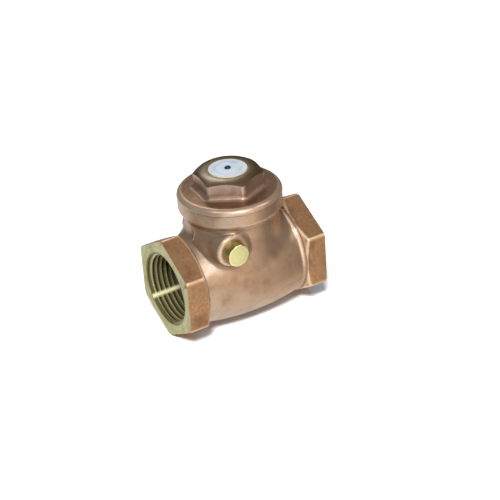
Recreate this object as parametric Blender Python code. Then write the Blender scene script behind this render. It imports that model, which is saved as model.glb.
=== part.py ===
"""A 3/4 inch bronze swing check valve with threaded hexagon ends and a screw-in cap.

Flow runs along +X. The origin is where the pipe axis meets the cap's axis, and +Z points up the cap.
Sizes are in millimetres here and become metres as each mesh is made.
"""

import bmesh
import bpy
from math import acos, atan2, cos, pi, radians, sin, sqrt, tan
from mathutils import Matrix, Vector

MM = 0.001

# Clearances
GAP = 0.3            # between two pieces that touch on the real valve
RUNNING = 0.4        # round a pin or a stud that turns in its hole

# Hexagon ends and the pipe thread's bore
END_AF = 33.0        # across the flats
INLET_X = -28.2
OUTLET_X = 27.6
INLET_HEX = 8.3      # length of the inlet hexagon along the pipe
OUTLET_HEX = 8.1
END_BREAK = 0.25     # chamfer at the machined outer face
END_CHAMFER = 1.2    # how far the cast chamfer comes in at the corners of the inner face
BORE_R = 12.75       # middle of the tapered thread at the mouth
BORE_TAPER = 1 / 32  # loss of radius for each millimetre of depth
THREAD_DEPTH = 11.6
MOUTH_R = 13.5       # countersink at each mouth
MOUTH_DEPTH = 0.8

# Belly, turned about the pipe axis
BELLY_R = 17.8
BELLY_CROWN = 91.0   # radius of the long curve from end to end
BELLY_TOP_X = 1.5
SHOULDER_R = 16.1    # round shoulder against the outlet hexagon
SHOULDER_W = 1.2
ROOT_FILLET = 1.2    # where the belly meets the inlet hexagon

# Chamber and seat
BELLY_WALL = 3.1
CHAMBER_CROWN = 80.0
SEAT_X = -9.0        # the face that the soft disc meets
SEAT_LIP = 1.2       # how far the seat stands out of the wall behind it
SEAT_WIDTH = 1.5
PORT_R = 9.3
OUTLET_STEP = 2.6    # length of the cone from the chamber to the outlet's thread

# Neck and collar, turned about the cap's axis
NECK_R = 16.4
NECK_FLOOR = 12.0    # lowest point of the round bore in the neck
THROAT_FLOOR = 2.0   # behind the seat's wall the same bore goes on down to here
NECK_WALL = 2.7
COLLAR_OUT = 1.8     # how far the collar stands out of the neck
COLLAR_FOOT = 21.8   # where the neck starts to widen
COLLAR_LOW = 24.4
COLLAR_TOP = 28.6
CAP_THREAD_STEP = 0.55    # how far the cap's thread is cut out of the neck's bore
CAP_THREAD_DEPTH = 7.4
SADDLE_R = 4.5       # fillet between neck and belly, along the pipe
SADDLE_SIDE_R = 14.0 # the same at the sides, where the neck's wall runs almost along the belly's

# Cap
FLANGE_LIP = 0.15    # how far the flange stands out of the collar
FLANGE_T = 1.9
FLANGE_EDGE = 0.9    # its rounded upper edge
FLANGE_RISE = 0.7    # the flange's top slopes up to the hexagon by this much
CAP_AF = 21.6
CAP_TOP = 37.7
CAP_TURN = radians(-6.0)    # where one flat of the hexagon faces, about Z
CAP_FACE_R = 9.7     # flat top inside the turned chamfer
CAP_CHAMFER = radians(32.0)
SKIRT_T = 2.5
SKIRT_DEPTH = 6.2
CAP_ROOF = 3.4       # metal over the hollow in the hexagon
HOLLOW_R = 7.2
PLATE_R = 6.8
PLATE_T = 0.45
PLATE_PIN_R = 0.85
PLATE_PIN_HEAD = 0.35
PLATE_PIN_LENGTH = 2.4

# Gasket, in a step inside the collar
GASKET_W = 1.25
GASKET_T = 0.8

# Hinge pin, its boss and its plug
PIN_INSET = 4.3      # from the neck's bore to the pin's axis, on the inlet side
PIN_Z = 15.9
PIN_R = 1.75
BOSS_R = 5.75
BOSS_DRAFT = radians(4.0)
BOSS_OUT = 0.1       # how far the boss's face lies outside the neck's widest line
BOSS_EDGE = 1.1        # how far the boss's outer edge is rounded
BOSS_ROOT = 4.0      # the boss starts inside the neck's wall, this far from the middle
PIN_SEAT = 0.6       # how far the pin's far end goes into the neck's wall, in a blind bore
LUG_R = 4.2          # the lugs inside the neck that keep the hanger in the middle of the pin
PLUG_DEPTH = 3.6     # of the threaded hole in the boss
PLUG_SHANK_R = 3.3
PLUG_AF = 7.7
PLUG_CORNER_OUT = 0.2  # the head's corners are turned down to this far outside its flats
PLUG_HEAD = 3.5
PLUG_CHAMFER = radians(40.0)
PLUG_FACE_IN = 0.15  # how far the face's circle lies inside the flats

# Hanger
HUB_R = 3.0
HUB_PROUD = 0.2      # how far the hub stands out of the arm at both ends
EYE_R = 4.8
EYE_T = 2.4
ARM_W = 6.6
ARM_BEND_Z = 10.9    # height where the arm leaves the plane of its eye

# Disc assembly, from the seat backwards
SOFT_R = 10.6
SOFT_T = 1.6
SOFT_PROUD = 0.45    # how far the soft disc stands out of its holder
HOLDER_WALL = 0.7
HOLDER_FLOOR = 1.4
HOLDER_PAD_R = 3.8
HOLDER_PAD_T = 0.5
STUD_R = 2.2
STUD_PROUD = 0.4
WASHER_R = 3.9
WASHER_T = 0.6
NUT_AF = 6.4
NUT_T = 2.4
FRONT_STUD_R = 1.7
FRONT_WASHER_R = 4.4
FRONT_NUT_AF = 5.6
FRONT_NUT_T = 2.2

# Facets
COARSE = 24
ROUND = 40
FINE = 56

# Places that follow from the sizes
CHAMBER_R = BELLY_R - BELLY_WALL
NECK_BORE_R = NECK_R - NECK_WALL
COLLAR_R = NECK_R + COLLAR_OUT
CAP_THREAD_R = NECK_BORE_R + CAP_THREAD_STEP
GASKET_R = CAP_THREAD_R + GASKET_W
FLANGE_R = COLLAR_R + FLANGE_LIP
PIN_X = PIN_INSET - NECK_BORE_R
PIN_END = sqrt(NECK_BORE_R**2 - PIN_X**2) + PIN_SEAT
BOSS_FACE = NECK_R + BOSS_OUT
INLET_INNER = INLET_X + INLET_HEX
OUTLET_INNER = OUTLET_X - OUTLET_HEX
WALL_X = SEAT_X - SEAT_LIP
SEAT_OUT_R = PORT_R + SEAT_WIDTH
SOFT_X = SEAT_X + GAP
HOLDER_RIM_X = SOFT_X + SOFT_PROUD
HOLDER_FLOOR_X = SOFT_X + SOFT_T + GAP
HOLDER_BACK_X = HOLDER_FLOOR_X + HOLDER_FLOOR
HOLDER_R = SOFT_R + GAP + HOLDER_WALL
EYE_X = HOLDER_BACK_X + HOLDER_PAD_T + GAP
EYE_BACK_X = EYE_X + EYE_T
WASHER_X = EYE_BACK_X + GAP
NUT_X = WASHER_X + WASHER_T + GAP
STUD_END_X = NUT_X + NUT_T + STUD_PROUD
FRONT_WASHER_X = SOFT_X - GAP
FRONT_NUT_X = FRONT_WASHER_X - WASHER_T - GAP
FLANGE_LOW = COLLAR_TOP + GAP
FLANGE_TOP = FLANGE_LOW + FLANGE_T
CAP_HEX_LOW = FLANGE_TOP + FLANGE_RISE
GASKET_SEAT = COLLAR_TOP - GASKET_T - GAP
SKIRT_R = CAP_THREAD_R - GAP
SKIRT_LOW = FLANGE_LOW - SKIRT_DEPTH
PLUG_SEAT = -(BOSS_FACE - PLUG_DEPTH)
PIN_START = PLUG_SEAT + 2 * GAP
HUB_HALF = sqrt((NECK_BORE_R - RUNNING) ** 2 - (HUB_R - PIN_X) ** 2)
LUG_START = HUB_HALF + RUNNING


def arc(centre, radius, start, end, steps):
    """Points of a circular arc in the profile's plane, with angles in degrees."""
    turns = [radians(start + (end - start) * i / steps) for i in range(steps + 1)]
    return [(centre[0] + radius * cos(t), centre[1] + radius * sin(t)) for t in turns]


def crowned(x, top_x, radius, crown):
    """Radius at x of a long barrel curve."""
    return radius - (crown - sqrt(crown**2 - (x - top_x) ** 2))


def belly_r(x):
    return crowned(x, BELLY_TOP_X, BELLY_R, BELLY_CROWN)


def chamber_r(x):
    return crowned(x, BELLY_TOP_X, CHAMBER_R, CHAMBER_CROWN)


def bore_r(depth):
    return BORE_R - BORE_TAPER * depth


def mesh_object(name, bm, material=None):
    """Closes the bmesh into an object, with its faces out, smooth where it is round."""
    bmesh.ops.remove_doubles(bm, verts=bm.verts, dist=1e-7)
    bmesh.ops.recalc_face_normals(bm, faces=bm.faces)
    mesh = bpy.data.meshes.new(name)
    bm.to_mesh(mesh)
    bm.free()
    mesh.shade_smooth()
    mesh.set_sharp_from_angle(angle=radians(30))
    obj = bpy.data.objects.new(name, mesh)
    bpy.context.scene.collection.objects.link(obj)
    if material:
        mesh.materials.append(material)
    return obj


AXES = {
    "X": (Vector((1, 0, 0)), Vector((0, 0, 1))),
    "Y": (Vector((0, 1, 0)), Vector((0, 0, 1))),
    "Z": (Vector((0, 0, 1)), Vector((1, 0, 0))),
}


def turned(name, profile, axis, steps, centre=(0, 0, 0), ring=False, material=None):
    """A profile of (along, radius) points turned about an axis through centre."""
    along, outward = AXES[axis]
    origin = Vector(centre) * MM
    bm = bmesh.new()
    verts = [bm.verts.new(origin + (along * a + outward * r) * MM) for a, r in profile]
    pairs = list(zip(verts, verts[1:])) + ([(verts[-1], verts[0])] if ring else [])
    edges = [bm.edges.new(pair) for pair in pairs]
    bmesh.ops.spin(bm, geom=verts + edges, cent=origin, axis=along, angle=2 * pi, steps=steps)
    return mesh_object(name, bm, material)


def rod(name, axis, low, high, radius, steps, centre=(0, 0, 0), bevel=0.0, material=None):
    """A plain round bar, with a small chamfer at both ends where one is given."""
    if bevel:
        ends = [(low, 0), (low, radius - bevel), (low + bevel, radius)]
        ends += [(high - bevel, radius), (high, radius - bevel), (high, 0)]
    else:
        ends = [(low, 0), (low, radius), (high, radius), (high, 0)]
    return turned(name, ends, axis, steps, centre, material=material)


def washer(name, axis, low, high, inner, outer, steps, centre=(0, 0, 0), material=None):
    section = [(low, inner), (low, outer), (high, outer), (high, inner)]
    return turned(name, section, axis, steps, centre, ring=True, material=material)


def prism(name, outline, axis, low, high, centre=(0, 0, 0), material=None):
    """A flat outline pushed along an axis. On X it is (y, z), on Y (x, z) and on Z (x, y)."""
    place = {
        "X": lambda a, p: Vector((a, p[0], p[1])),
        "Y": lambda a, p: Vector((p[0], a, p[1])),
        "Z": lambda a, p: Vector((p[0], p[1], a)),
    }[axis]
    bm = bmesh.new()
    base = Vector(centre)
    verts = [bm.verts.new((base + place(low, p)) * MM) for p in outline]
    face = bm.faces.new(verts)
    made = bmesh.ops.extrude_face_region(bm, geom=[face])
    moved = [v for v in made["geom"] if isinstance(v, bmesh.types.BMVert)]
    bmesh.ops.translate(bm, verts=moved, vec=place(high - low, (0, 0)) * MM)
    return mesh_object(name, bm, material)


def hexagon(across_flats, flat_at):
    """Corners of a hexagon, with one flat facing the angle flat_at."""
    corner = across_flats / sqrt(3)
    turns = [flat_at + radians(30 + 60 * i) for i in range(6)]
    return [(corner * cos(t), corner * sin(t)) for t in turns]


def helper(obj):
    """Keeps a tool of a Boolean out of sight and out of the model."""
    obj.hide_render = True
    obj.display_type = "WIRE"
    return obj


def boolean(obj, operation, *tools, solver="EXACT"):
    for tool in tools:
        modifier = obj.modifiers.new(tool.name, "BOOLEAN")
        modifier.operation = operation
        modifier.object = helper(tool)
        modifier.solver = solver


def nut(name, axis, low, high, across_flats, flat_at, centre, bore, material, chamfer=0.3):
    """A hexagon nut whose corners are turned down at both faces."""
    drop = across_flats * (1 / sqrt(3) - 0.5)
    corner_r = across_flats / sqrt(3) + 0.01
    face_r = across_flats / 2
    ends = [(low, 0), (low, face_r), (low + min(chamfer, drop), corner_r)]
    ends += [(high - min(chamfer, drop), corner_r), (high, face_r), (high, 0)]
    obj = prism(name, hexagon(across_flats, flat_at), axis, low, high, centre, material)
    crown = turned(name + "_crown", ends, axis, COARSE, centre)
    hole = rod(name + "_hole", axis, low - 1, high + 1, bore, COARSE, centre)
    boolean(obj, "INTERSECT", crown)
    boolean(obj, "DIFFERENCE", hole)
    return obj


def material(name, colour, roughness, metallic):
    made = bpy.data.materials.new(name)
    made.use_nodes = True
    shader = made.node_tree.nodes["Principled BSDF"]
    shader.inputs["Base Color"].default_value = (*colour, 1)
    shader.inputs["Roughness"].default_value = roughness
    shader.inputs["Metallic"].default_value = metallic
    return made


def end_hexagon(name, outer, inner):
    """One hexagon end, its corners turned down by a chamfer at both faces."""
    way = 1 if inner > outer else -1
    flat_r = END_AF / 2
    corner_r = END_AF / sqrt(3) + 0.05
    profile = [(outer, 0), (outer, corner_r - END_BREAK), (outer + way * END_BREAK, corner_r)]
    profile += [(inner - way * END_CHAMFER, corner_r), (inner, flat_r + 0.2), (inner, 0)]
    low, high = sorted((outer, inner))
    hexa = prism(name, hexagon(END_AF, 0), "X", low, high)
    boolean(hexa, "INTERSECT", turned(name + "_chamfer", profile, "X", FINE))
    return hexa


def belly():
    """The long barrel between the hexagons, with the round shoulder at the outlet."""
    shoulder_start = OUTLET_INNER - SHOULDER_W
    root = INLET_INNER + ROOT_FILLET
    buried = 1.0
    profile = [(INLET_INNER - buried, 0), (INLET_INNER - buried, belly_r(root) + ROOT_FILLET / 2)]
    for i in range(4):
        t = radians(90 * i / 3)
        lift = ROOT_FILLET / 2 * (1 - sin(t))
        profile.append((root - ROOT_FILLET * cos(t), belly_r(root) + lift))
    steps = 10
    span = shoulder_start - 0.5 - root
    for i in range(1, steps + 1):
        x = root + span * i / steps
        profile.append((x, belly_r(x)))
    edge = 0.3
    profile += [(shoulder_start, SHOULDER_R - edge), (shoulder_start + edge, SHOULDER_R)]
    profile += [(OUTLET_INNER + buried, SHOULDER_R), (OUTLET_INNER + buried, 0)]
    return turned("belly", profile, "X", FINE)


def neck():
    edge = 0.4
    profile = [(0, 0), (0, NECK_R), (COLLAR_FOOT, NECK_R), (COLLAR_LOW, COLLAR_R - 0.1)]
    profile += [(COLLAR_LOW + edge, COLLAR_R), (COLLAR_TOP - edge, COLLAR_R)]
    profile += [(COLLAR_TOP, COLLAR_R - edge), (COLLAR_TOP, 0)]
    return turned("neck", profile, "Z", FINE)


def saddle():
    """The cast fillet where the neck stands on the belly: one section for each way round the neck."""
    bm = bmesh.new()
    rings = []
    sink = 0.04
    for i in range(FINE):
        turn = 2 * pi * i / FINE
        way = Vector((cos(turn), sin(turn), 0))
        sections = []

        def belly_z(rho):
            return sqrt(max(belly_r(rho * way.x) ** 2 - (rho * way.y) ** 2, 0.0))

        meet = belly_z(NECK_R)
        step = 0.2
        fall = (belly_z(NECK_R - step) - meet) / step
        slope = atan2(fall, 1.0)
        room = max(belly_r(NECK_R * way.x) - NECK_R * abs(way.y), 0.02)
        widest = 0.9 * room / cos(slope) * tan((pi / 2 + slope) / 2)
        radius = min(SADDLE_R + (SADDLE_SIDE_R - SADDLE_R) * way.y**2, widest)
        reach = radius / tan((pi / 2 + slope) / 2)
        centre = (NECK_R + radius, meet + reach)
        foot = (NECK_R + reach * cos(slope), meet - reach * sin(slope))
        first, last = pi, pi + (pi / 2 - slope)
        parts = 5
        for k in range(parts + 1):
            t = first + (last - first) * k / parts
            sections.append((centre[0] + radius * cos(t), centre[1] + radius * sin(t)))
        sections[0] = (NECK_R - sink, sections[0][1])
        sections[-1] = (foot[0], min(foot[1], belly_z(foot[0])) - sink)
        sections += [(foot[0] - 0.2, sections[-1][1] - 0.8), (NECK_R - 1.5, meet - 1.5)]
        sections += [(NECK_R - 1.5, meet + reach)]
        rings.append([bm.verts.new((way * rho + Vector((0, 0, z))) * MM) for rho, z in sections])
    for ring, after in zip(rings, rings[1:] + rings[:1]):
        for k in range(len(ring)):
            n = (k + 1) % len(ring)
            bm.faces.new((ring[k], ring[n], after[n], after[k]))
    return mesh_object("saddle", bm)


def boss():
    """The round boss that takes the pin's plug, with casting draft down to its root in the wall."""
    wide = BOSS_R + (BOSS_FACE - BOSS_ROOT) * tan(BOSS_DRAFT)
    profile = [(-BOSS_ROOT, 0), (-BOSS_ROOT, wide)]
    profile += arc((BOSS_EDGE - BOSS_FACE, BOSS_R - BOSS_EDGE), BOSS_EDGE, 90, 180, 3)
    profile += [(-BOSS_FACE, 0)]
    return turned("boss", profile, "Y", ROUND, (PIN_X, 0, PIN_Z))


def waterway():
    """The inside of the body along the pipe: thread bores, port, raised seat and chamber."""
    past = 1.0
    inlet_end = INLET_X + THREAD_DEPTH
    outlet_end = OUTLET_X - THREAD_DEPTH
    profile = [(INLET_X - past, 0), (INLET_X - past, MOUTH_R), (INLET_X, MOUTH_R)]
    profile += [(INLET_X + MOUTH_DEPTH, bore_r(0)), (inlet_end, bore_r(THREAD_DEPTH))]
    profile += [(inlet_end + 0.6, PORT_R + 0.6), (inlet_end + 1.2, PORT_R), (SEAT_X, PORT_R)]
    profile += [(SEAT_X, SEAT_OUT_R), (WALL_X, SEAT_OUT_R), (WALL_X, chamber_r(WALL_X) - 0.8)]
    start = WALL_X + 0.8
    end = outlet_end - OUTLET_STEP
    steps = 8
    for i in range(steps + 1):
        x = start + (end - start) * i / steps
        profile.append((x, chamber_r(x)))
    profile += [(outlet_end, bore_r(THREAD_DEPTH)), (OUTLET_X - MOUTH_DEPTH, bore_r(0))]
    profile += [(OUTLET_X, MOUTH_R), (OUTLET_X + past, MOUTH_R), (OUTLET_X + past, 0)]
    return turned("waterway", profile, "X", ROUND)


def neck_bore():
    """The inside of the neck: plain bore, cap thread and the step for the gasket."""
    past = 1.0
    thread_low = COLLAR_TOP - CAP_THREAD_DEPTH
    step_r = GASKET_R + GAP
    profile = [(NECK_FLOOR, 0), (NECK_FLOOR, NECK_BORE_R), (thread_low, NECK_BORE_R)]
    profile += [(thread_low, CAP_THREAD_R), (GASKET_SEAT, CAP_THREAD_R), (GASKET_SEAT, step_r)]
    profile += [(COLLAR_TOP + past, step_r), (COLLAR_TOP + past, 0)]
    return turned("neck_bore", profile, "Z", FINE)


def throat():
    """The lower part of the neck's bore, cut straight where the seat's wall stands."""
    half = acos(WALL_X / NECK_BORE_R)
    steps = 28
    turns = [half * (2 * i / steps - 1) for i in range(steps + 1)]
    outline = [(NECK_BORE_R * cos(t), NECK_BORE_R * sin(t)) for t in turns]
    return prism("throat", outline, "Z", THROAT_FLOOR, NECK_FLOOR + 1)


def make_body(finish):
    """The one-piece casting, with everything that is cut into it."""
    body = belly()
    body.name = "body"
    body.data.materials.append(finish)
    pin_centre = (PIN_X, 0, PIN_Z)
    boolean(
        body,
        "UNION",
        neck(),
        saddle(),
        end_hexagon("inlet_hexagon", INLET_X, INLET_INNER),
        end_hexagon("outlet_hexagon", OUTLET_X, OUTLET_INNER),
        boss(),
        solver="MANIFOLD",
    )
    lug_end = sqrt(NECK_BORE_R**2 - PIN_X**2) + 1.2
    plug_hole = rod(
        "plug_hole", "Y", -BOSS_FACE - 1, PLUG_SEAT, PLUG_SHANK_R + GAP, COARSE, pin_centre
    )
    pin_bore = rod(
        "pin_bore", "Y", PLUG_SEAT - 1, PIN_END + GAP, PIN_R + GAP, COARSE, pin_centre
    )
    lugs = [
        rod(f"lug_{side}", "Y", *sorted((way * LUG_START, way * lug_end)), LUG_R, COARSE, pin_centre)
        for side, way in (("near", -1), ("far", 1))
    ]
    boolean(body, "DIFFERENCE", waterway(), throat(), neck_bore(), solver="MANIFOLD")
    boolean(body, "UNION", *lugs, solver="MANIFOLD")
    boolean(body, "DIFFERENCE", plug_hole, pin_bore, solver="MANIFOLD")
    return body


def make_cap(finish):
    """The screw-in cap: skirt and flange turned, hexagon with a turned crown, hollow under both."""
    edge = 0.35
    hex_r = CAP_AF / 2
    hollow_top = CAP_TOP - CAP_ROOF
    outline = [(SKIRT_LOW, 0), (SKIRT_LOW, SKIRT_R - edge), (SKIRT_LOW + edge, SKIRT_R)]
    outline += [(FLANGE_LOW, SKIRT_R), (FLANGE_LOW, FLANGE_R - edge), (FLANGE_LOW + edge, FLANGE_R)]
    rim = (FLANGE_TOP - FLANGE_EDGE, FLANGE_R - FLANGE_EDGE)
    outline += arc(rim, FLANGE_EDGE, 90, 0, 3)
    outline += [(CAP_HEX_LOW, hex_r - 0.3), (CAP_HEX_LOW, 0)]
    cap = turned("cap", outline, "Z", FINE, material=finish)

    corner_r = CAP_AF / sqrt(3) + 0.05
    chamfer_low = CAP_TOP - (corner_r - CAP_FACE_R) * tan(CAP_CHAMFER)
    crown = [(FLANGE_LOW, 0), (FLANGE_LOW, corner_r), (chamfer_low, corner_r)]
    crown += [(CAP_TOP, CAP_FACE_R), (CAP_TOP, 0)]
    hexa = prism("cap_hexagon", hexagon(CAP_AF, CAP_TURN), "Z", FLANGE_LOW + 0.5, CAP_TOP)
    boolean(hexa, "INTERSECT", turned("cap_crown", crown, "Z", FINE))

    skirt_in = SKIRT_R - SKIRT_T
    roof = FLANGE_LOW + 0.6
    hollow = [(SKIRT_LOW - 1, 0), (SKIRT_LOW - 1, skirt_in), (roof, skirt_in)]
    hollow += [(roof + 0.8, skirt_in - 0.8), (roof + 0.8, HOLLOW_R), (hollow_top - 1, HOLLOW_R)]
    hollow += [(hollow_top, HOLLOW_R - 1), (hollow_top, 0)]
    recess = rod("plate_recess", "Z", CAP_TOP - PLATE_T, CAP_TOP + 1, PLATE_R + GAP, ROUND)
    pin_hole_low = CAP_TOP - PLATE_PIN_LENGTH - GAP
    pin_hole = rod("plate_pin_hole", "Z", pin_hole_low, CAP_TOP + 1, PLATE_PIN_R + GAP, COARSE)
    boolean(cap, "UNION", hexa)
    boolean(cap, "DIFFERENCE", turned("cap_hollow", hollow, "Z", FINE), recess, pin_hole)
    return cap


def make_gasket(finish):
    low = GASKET_SEAT + GAP / 2
    high = COLLAR_TOP - GAP / 2
    return washer("cap_gasket", "Z", low, high, CAP_THREAD_R, GASKET_R, ROUND, material=finish)


def make_id_plate(finish):
    low = CAP_TOP - PLATE_T + GAP
    high = low + PLATE_T
    plate_hole = PLATE_PIN_R + GAP
    return washer("id_plate", "Z", low, high, plate_hole, PLATE_R, ROUND, material=finish)


def make_id_plate_pin(finish):
    """A drive pin with a low round head on the plate."""
    head_low = CAP_TOP + 2 * GAP
    shank_r = PLATE_PIN_R
    tip = CAP_TOP - PLATE_PIN_LENGTH
    head_r = PLATE_PIN_R + GAP + 0.3
    profile = [(tip, 0), (tip, shank_r - 0.2), (tip + 0.3, shank_r), (head_low, shank_r)]
    profile += [(head_low, head_r), (head_low + PLATE_PIN_HEAD * 0.6, head_r * 0.8)]
    profile += [(head_low + PLATE_PIN_HEAD, 0)]
    return turned("id_plate_pin", profile, "Z", COARSE, material=finish)


def make_hinge_pin(finish):
    centre = (PIN_X, 0, PIN_Z)
    return rod("hinge_pin", "Y", PIN_START, PIN_END, PIN_R, COARSE, centre, 0.3, finish)


def make_plug(finish):
    """The pin plug: a threaded shank and a hexagon head with a turned crown."""
    centre = (PIN_X, 0, PIN_Z)
    seat = -(BOSS_FACE + GAP)
    face = seat - PLUG_HEAD
    corner_r = PLUG_AF / 2 + PLUG_CORNER_OUT
    face_r = PLUG_AF / 2 - PLUG_FACE_IN
    drop = (corner_r - face_r) * tan(PLUG_CHAMFER)
    plug = rod(
        "pin_plug", "Y", seat - 1, PLUG_SEAT - GAP, PLUG_SHANK_R, COARSE, centre, 0.3, finish
    )
    head = prism("plug_head", hexagon(PLUG_AF, 0), "Y", face, seat, centre)
    crown = [(face, 0), (face, face_r), (face + drop, corner_r), (seat, corner_r), (seat, 0)]
    boolean(head, "INTERSECT", turned("plug_crown", crown, "Y", ROUND, centre))
    boolean(plug, "UNION", head)
    return plug


def make_hanger(finish):
    """The swing arm: a side outline and a front outline crossed, with the hub and both holes."""
    back, front = EYE_BACK_X, EYE_X
    hub_top = PIN_Z + 1.2
    side = [(front, -EYE_R - 0.2), (back, -EYE_R - 0.2), (back, ARM_BEND_Z + 1.2)]
    side += [(PIN_X + 1.6, hub_top + 1.0), (PIN_X - 1.0, hub_top)]
    side += [(PIN_X + 0.6, PIN_Z - HUB_R + 0.4), (front, ARM_BEND_Z + 0.9)]
    half = ARM_W / 2
    eye = arc((0, 0), EYE_R, 180 - 40, 360 + 40, 14)
    top_half = HUB_HALF - HUB_PROUD
    outline = eye + [(half, EYE_R * 0.95), (half, ARM_BEND_Z)]
    outline += [(top_half * 0.75, PIN_Z - HUB_R + 0.8), (top_half, PIN_Z - 1), (top_half, PIN_Z + 3)]
    outline += [(-top_half, PIN_Z + 3), (-top_half, PIN_Z - 1), (-top_half * 0.75, PIN_Z - HUB_R + 0.8)]
    outline += [(-half, ARM_BEND_Z), (-half, EYE_R * 0.95)]
    past = 1.0
    arm = prism("hanger", side, "Y", -HUB_HALF - past, HUB_HALF + past, material=finish)
    front_view = prism("hanger_front", outline, "X", PIN_X - 3, back + 1)
    hub = rod("hanger_hub", "Y", -HUB_HALF, HUB_HALF, HUB_R, COARSE, (PIN_X, 0, PIN_Z))
    pin_hole = rod(
        "hub_hole", "Y", -HUB_HALF - 1, HUB_HALF + 1, PIN_R + RUNNING, COARSE, (PIN_X, 0, PIN_Z)
    )
    stud_hole = rod("eye_hole", "X", front - 1, back + 1, STUD_R + RUNNING, COARSE)
    boolean(arm, "INTERSECT", front_view, solver="MANIFOLD")
    boolean(arm, "UNION", hub, solver="MANIFOLD")
    boolean(arm, "DIFFERENCE", pin_hole, stud_hole, solver="MANIFOLD")
    return arm


def make_disc_holder(finish):
    """The metal disc, dished at the front for the soft disc, with both studs on it."""
    front_end = FRONT_NUT_X - FRONT_NUT_T - STUD_PROUD
    edge = 0.4
    profile = [(front_end, 0), (front_end, FRONT_STUD_R - 0.3), (front_end + 0.3, FRONT_STUD_R)]
    profile += [(HOLDER_FLOOR_X, FRONT_STUD_R), (HOLDER_FLOOR_X, SOFT_R + GAP)]
    profile += [(HOLDER_RIM_X, SOFT_R + GAP), (HOLDER_RIM_X, HOLDER_R)]
    profile += [(HOLDER_BACK_X - edge, HOLDER_R), (HOLDER_BACK_X, HOLDER_R - edge)]
    profile += [(HOLDER_BACK_X, HOLDER_PAD_R), (HOLDER_BACK_X + HOLDER_PAD_T, HOLDER_PAD_R)]
    profile += [(HOLDER_BACK_X + HOLDER_PAD_T, STUD_R), (STUD_END_X - 0.3, STUD_R)]
    profile += [(STUD_END_X, STUD_R - 0.3), (STUD_END_X, 0)]
    return turned("disc_holder", profile, "X", ROUND, material=finish)


def make_disc_pieces(finish, soft):
    """The soft disc, and the washers and nuts on the two studs."""
    stud_hole = STUD_R + GAP
    front_hole = FRONT_STUD_R + GAP
    soft_back = SOFT_X + SOFT_T
    front_low = FRONT_WASHER_X - WASHER_T
    nut_low = FRONT_NUT_X - FRONT_NUT_T
    centre = (0, 0, 0)
    return [
        washer("seat_disc", "X", SOFT_X, soft_back, front_hole, SOFT_R, ROUND, material=soft),
        washer(
            "seat_disc_washer", "X", front_low, FRONT_WASHER_X, front_hole, FRONT_WASHER_R,
            COARSE, material=finish,
        ),
        nut(
            "seat_disc_nut", "X", nut_low, FRONT_NUT_X, FRONT_NUT_AF, 0, centre, front_hole, finish
        ),
        washer(
            "hanger_washer", "X", WASHER_X, WASHER_X + WASHER_T, stud_hole, WASHER_R, COARSE,
            material=finish,
        ),
        nut("hanger_nut", "X", NUT_X, NUT_X + NUT_T, NUT_AF, 0, centre, stud_hole, finish),
    ]


def joint_empty(name, place):
    empty = bpy.data.objects.new(name, None)
    empty.location = Vector(place) * MM
    bpy.context.scene.collection.objects.link(empty)
    return empty


def carry(child, parent):
    """Parents without moving the child."""
    child.parent = parent
    child.matrix_parent_inverse = Matrix.Translation(-parent.location)


def main():
    for obj in list(bpy.data.objects):
        bpy.data.objects.remove(obj, do_unlink=True)
    bronze = material("cast_bronze", (0.42, 0.25, 0.16), 0.45, 1.0)
    inner_bronze = material("inner_bronze", (0.50, 0.33, 0.17), 0.4, 1.0)
    brass = material("turned_brass", (0.71, 0.62, 0.33), 0.3, 1.0)
    plate = material("plate_metal", (0.72, 0.80, 0.88), 0.4, 0.6)
    dark_pin = material("dark_pin", (0.03, 0.06, 0.09), 0.4, 0.8)
    fibre = material("gasket_fibre", (0.14, 0.16, 0.15), 0.8, 0.0)
    soft = material("soft_disc", (0.80, 0.80, 0.76), 0.5, 0.0)

    make_body(bronze)
    make_cap(bronze)
    make_gasket(fibre)
    make_id_plate(plate)
    make_id_plate_pin(dark_pin)
    make_hinge_pin(brass)
    make_plug(brass)

    swing = joint_empty("swing_axis", (PIN_X, 0, PIN_Z))
    spin = joint_empty("disc_turn_axis", (EYE_X, 0, 0))
    carry(spin, swing)
    carry(make_hanger(inner_bronze), swing)
    for piece in [make_disc_holder(inner_bronze), *make_disc_pieces(brass, soft)]:
        carry(piece, spin)


main()
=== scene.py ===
# %% [markdown]
# # A bronze swing check valve
# The valve is a small bronze casting with a hexagon at each pipe end, a round belly between them and a
# screw-in cap on its neck. Inside, a disc hangs on a swing arm and lets the flow pass one way only.
# This lesson dresses the plain solids of that valve: each piece is made again with the surface that a
# foundry and a lathe would leave on it. The first cell loads the solids and keeps their size.

# %% Load the valve's solids
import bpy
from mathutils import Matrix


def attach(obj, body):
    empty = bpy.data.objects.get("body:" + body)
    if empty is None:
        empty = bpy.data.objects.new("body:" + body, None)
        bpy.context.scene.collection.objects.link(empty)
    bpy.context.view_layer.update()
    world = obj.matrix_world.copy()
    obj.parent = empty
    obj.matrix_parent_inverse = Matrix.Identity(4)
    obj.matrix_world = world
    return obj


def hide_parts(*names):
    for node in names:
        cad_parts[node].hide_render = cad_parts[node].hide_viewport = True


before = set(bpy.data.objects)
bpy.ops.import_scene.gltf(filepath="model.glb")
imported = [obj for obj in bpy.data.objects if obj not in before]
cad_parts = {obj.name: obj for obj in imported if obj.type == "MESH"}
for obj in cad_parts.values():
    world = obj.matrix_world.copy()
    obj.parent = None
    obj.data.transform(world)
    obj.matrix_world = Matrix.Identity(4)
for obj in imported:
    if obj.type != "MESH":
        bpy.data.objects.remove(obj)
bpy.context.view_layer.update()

# %% Modules and units
from math import acos, ceil, cos, pi, radians, sin, sqrt, tan

import bmesh
import bpy
import numpy as np
import openvdb
from mathutils import Matrix, Vector, noise

MM = 0.001
print("sizes below are in millimetres, and become metres as each mesh is made")

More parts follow.
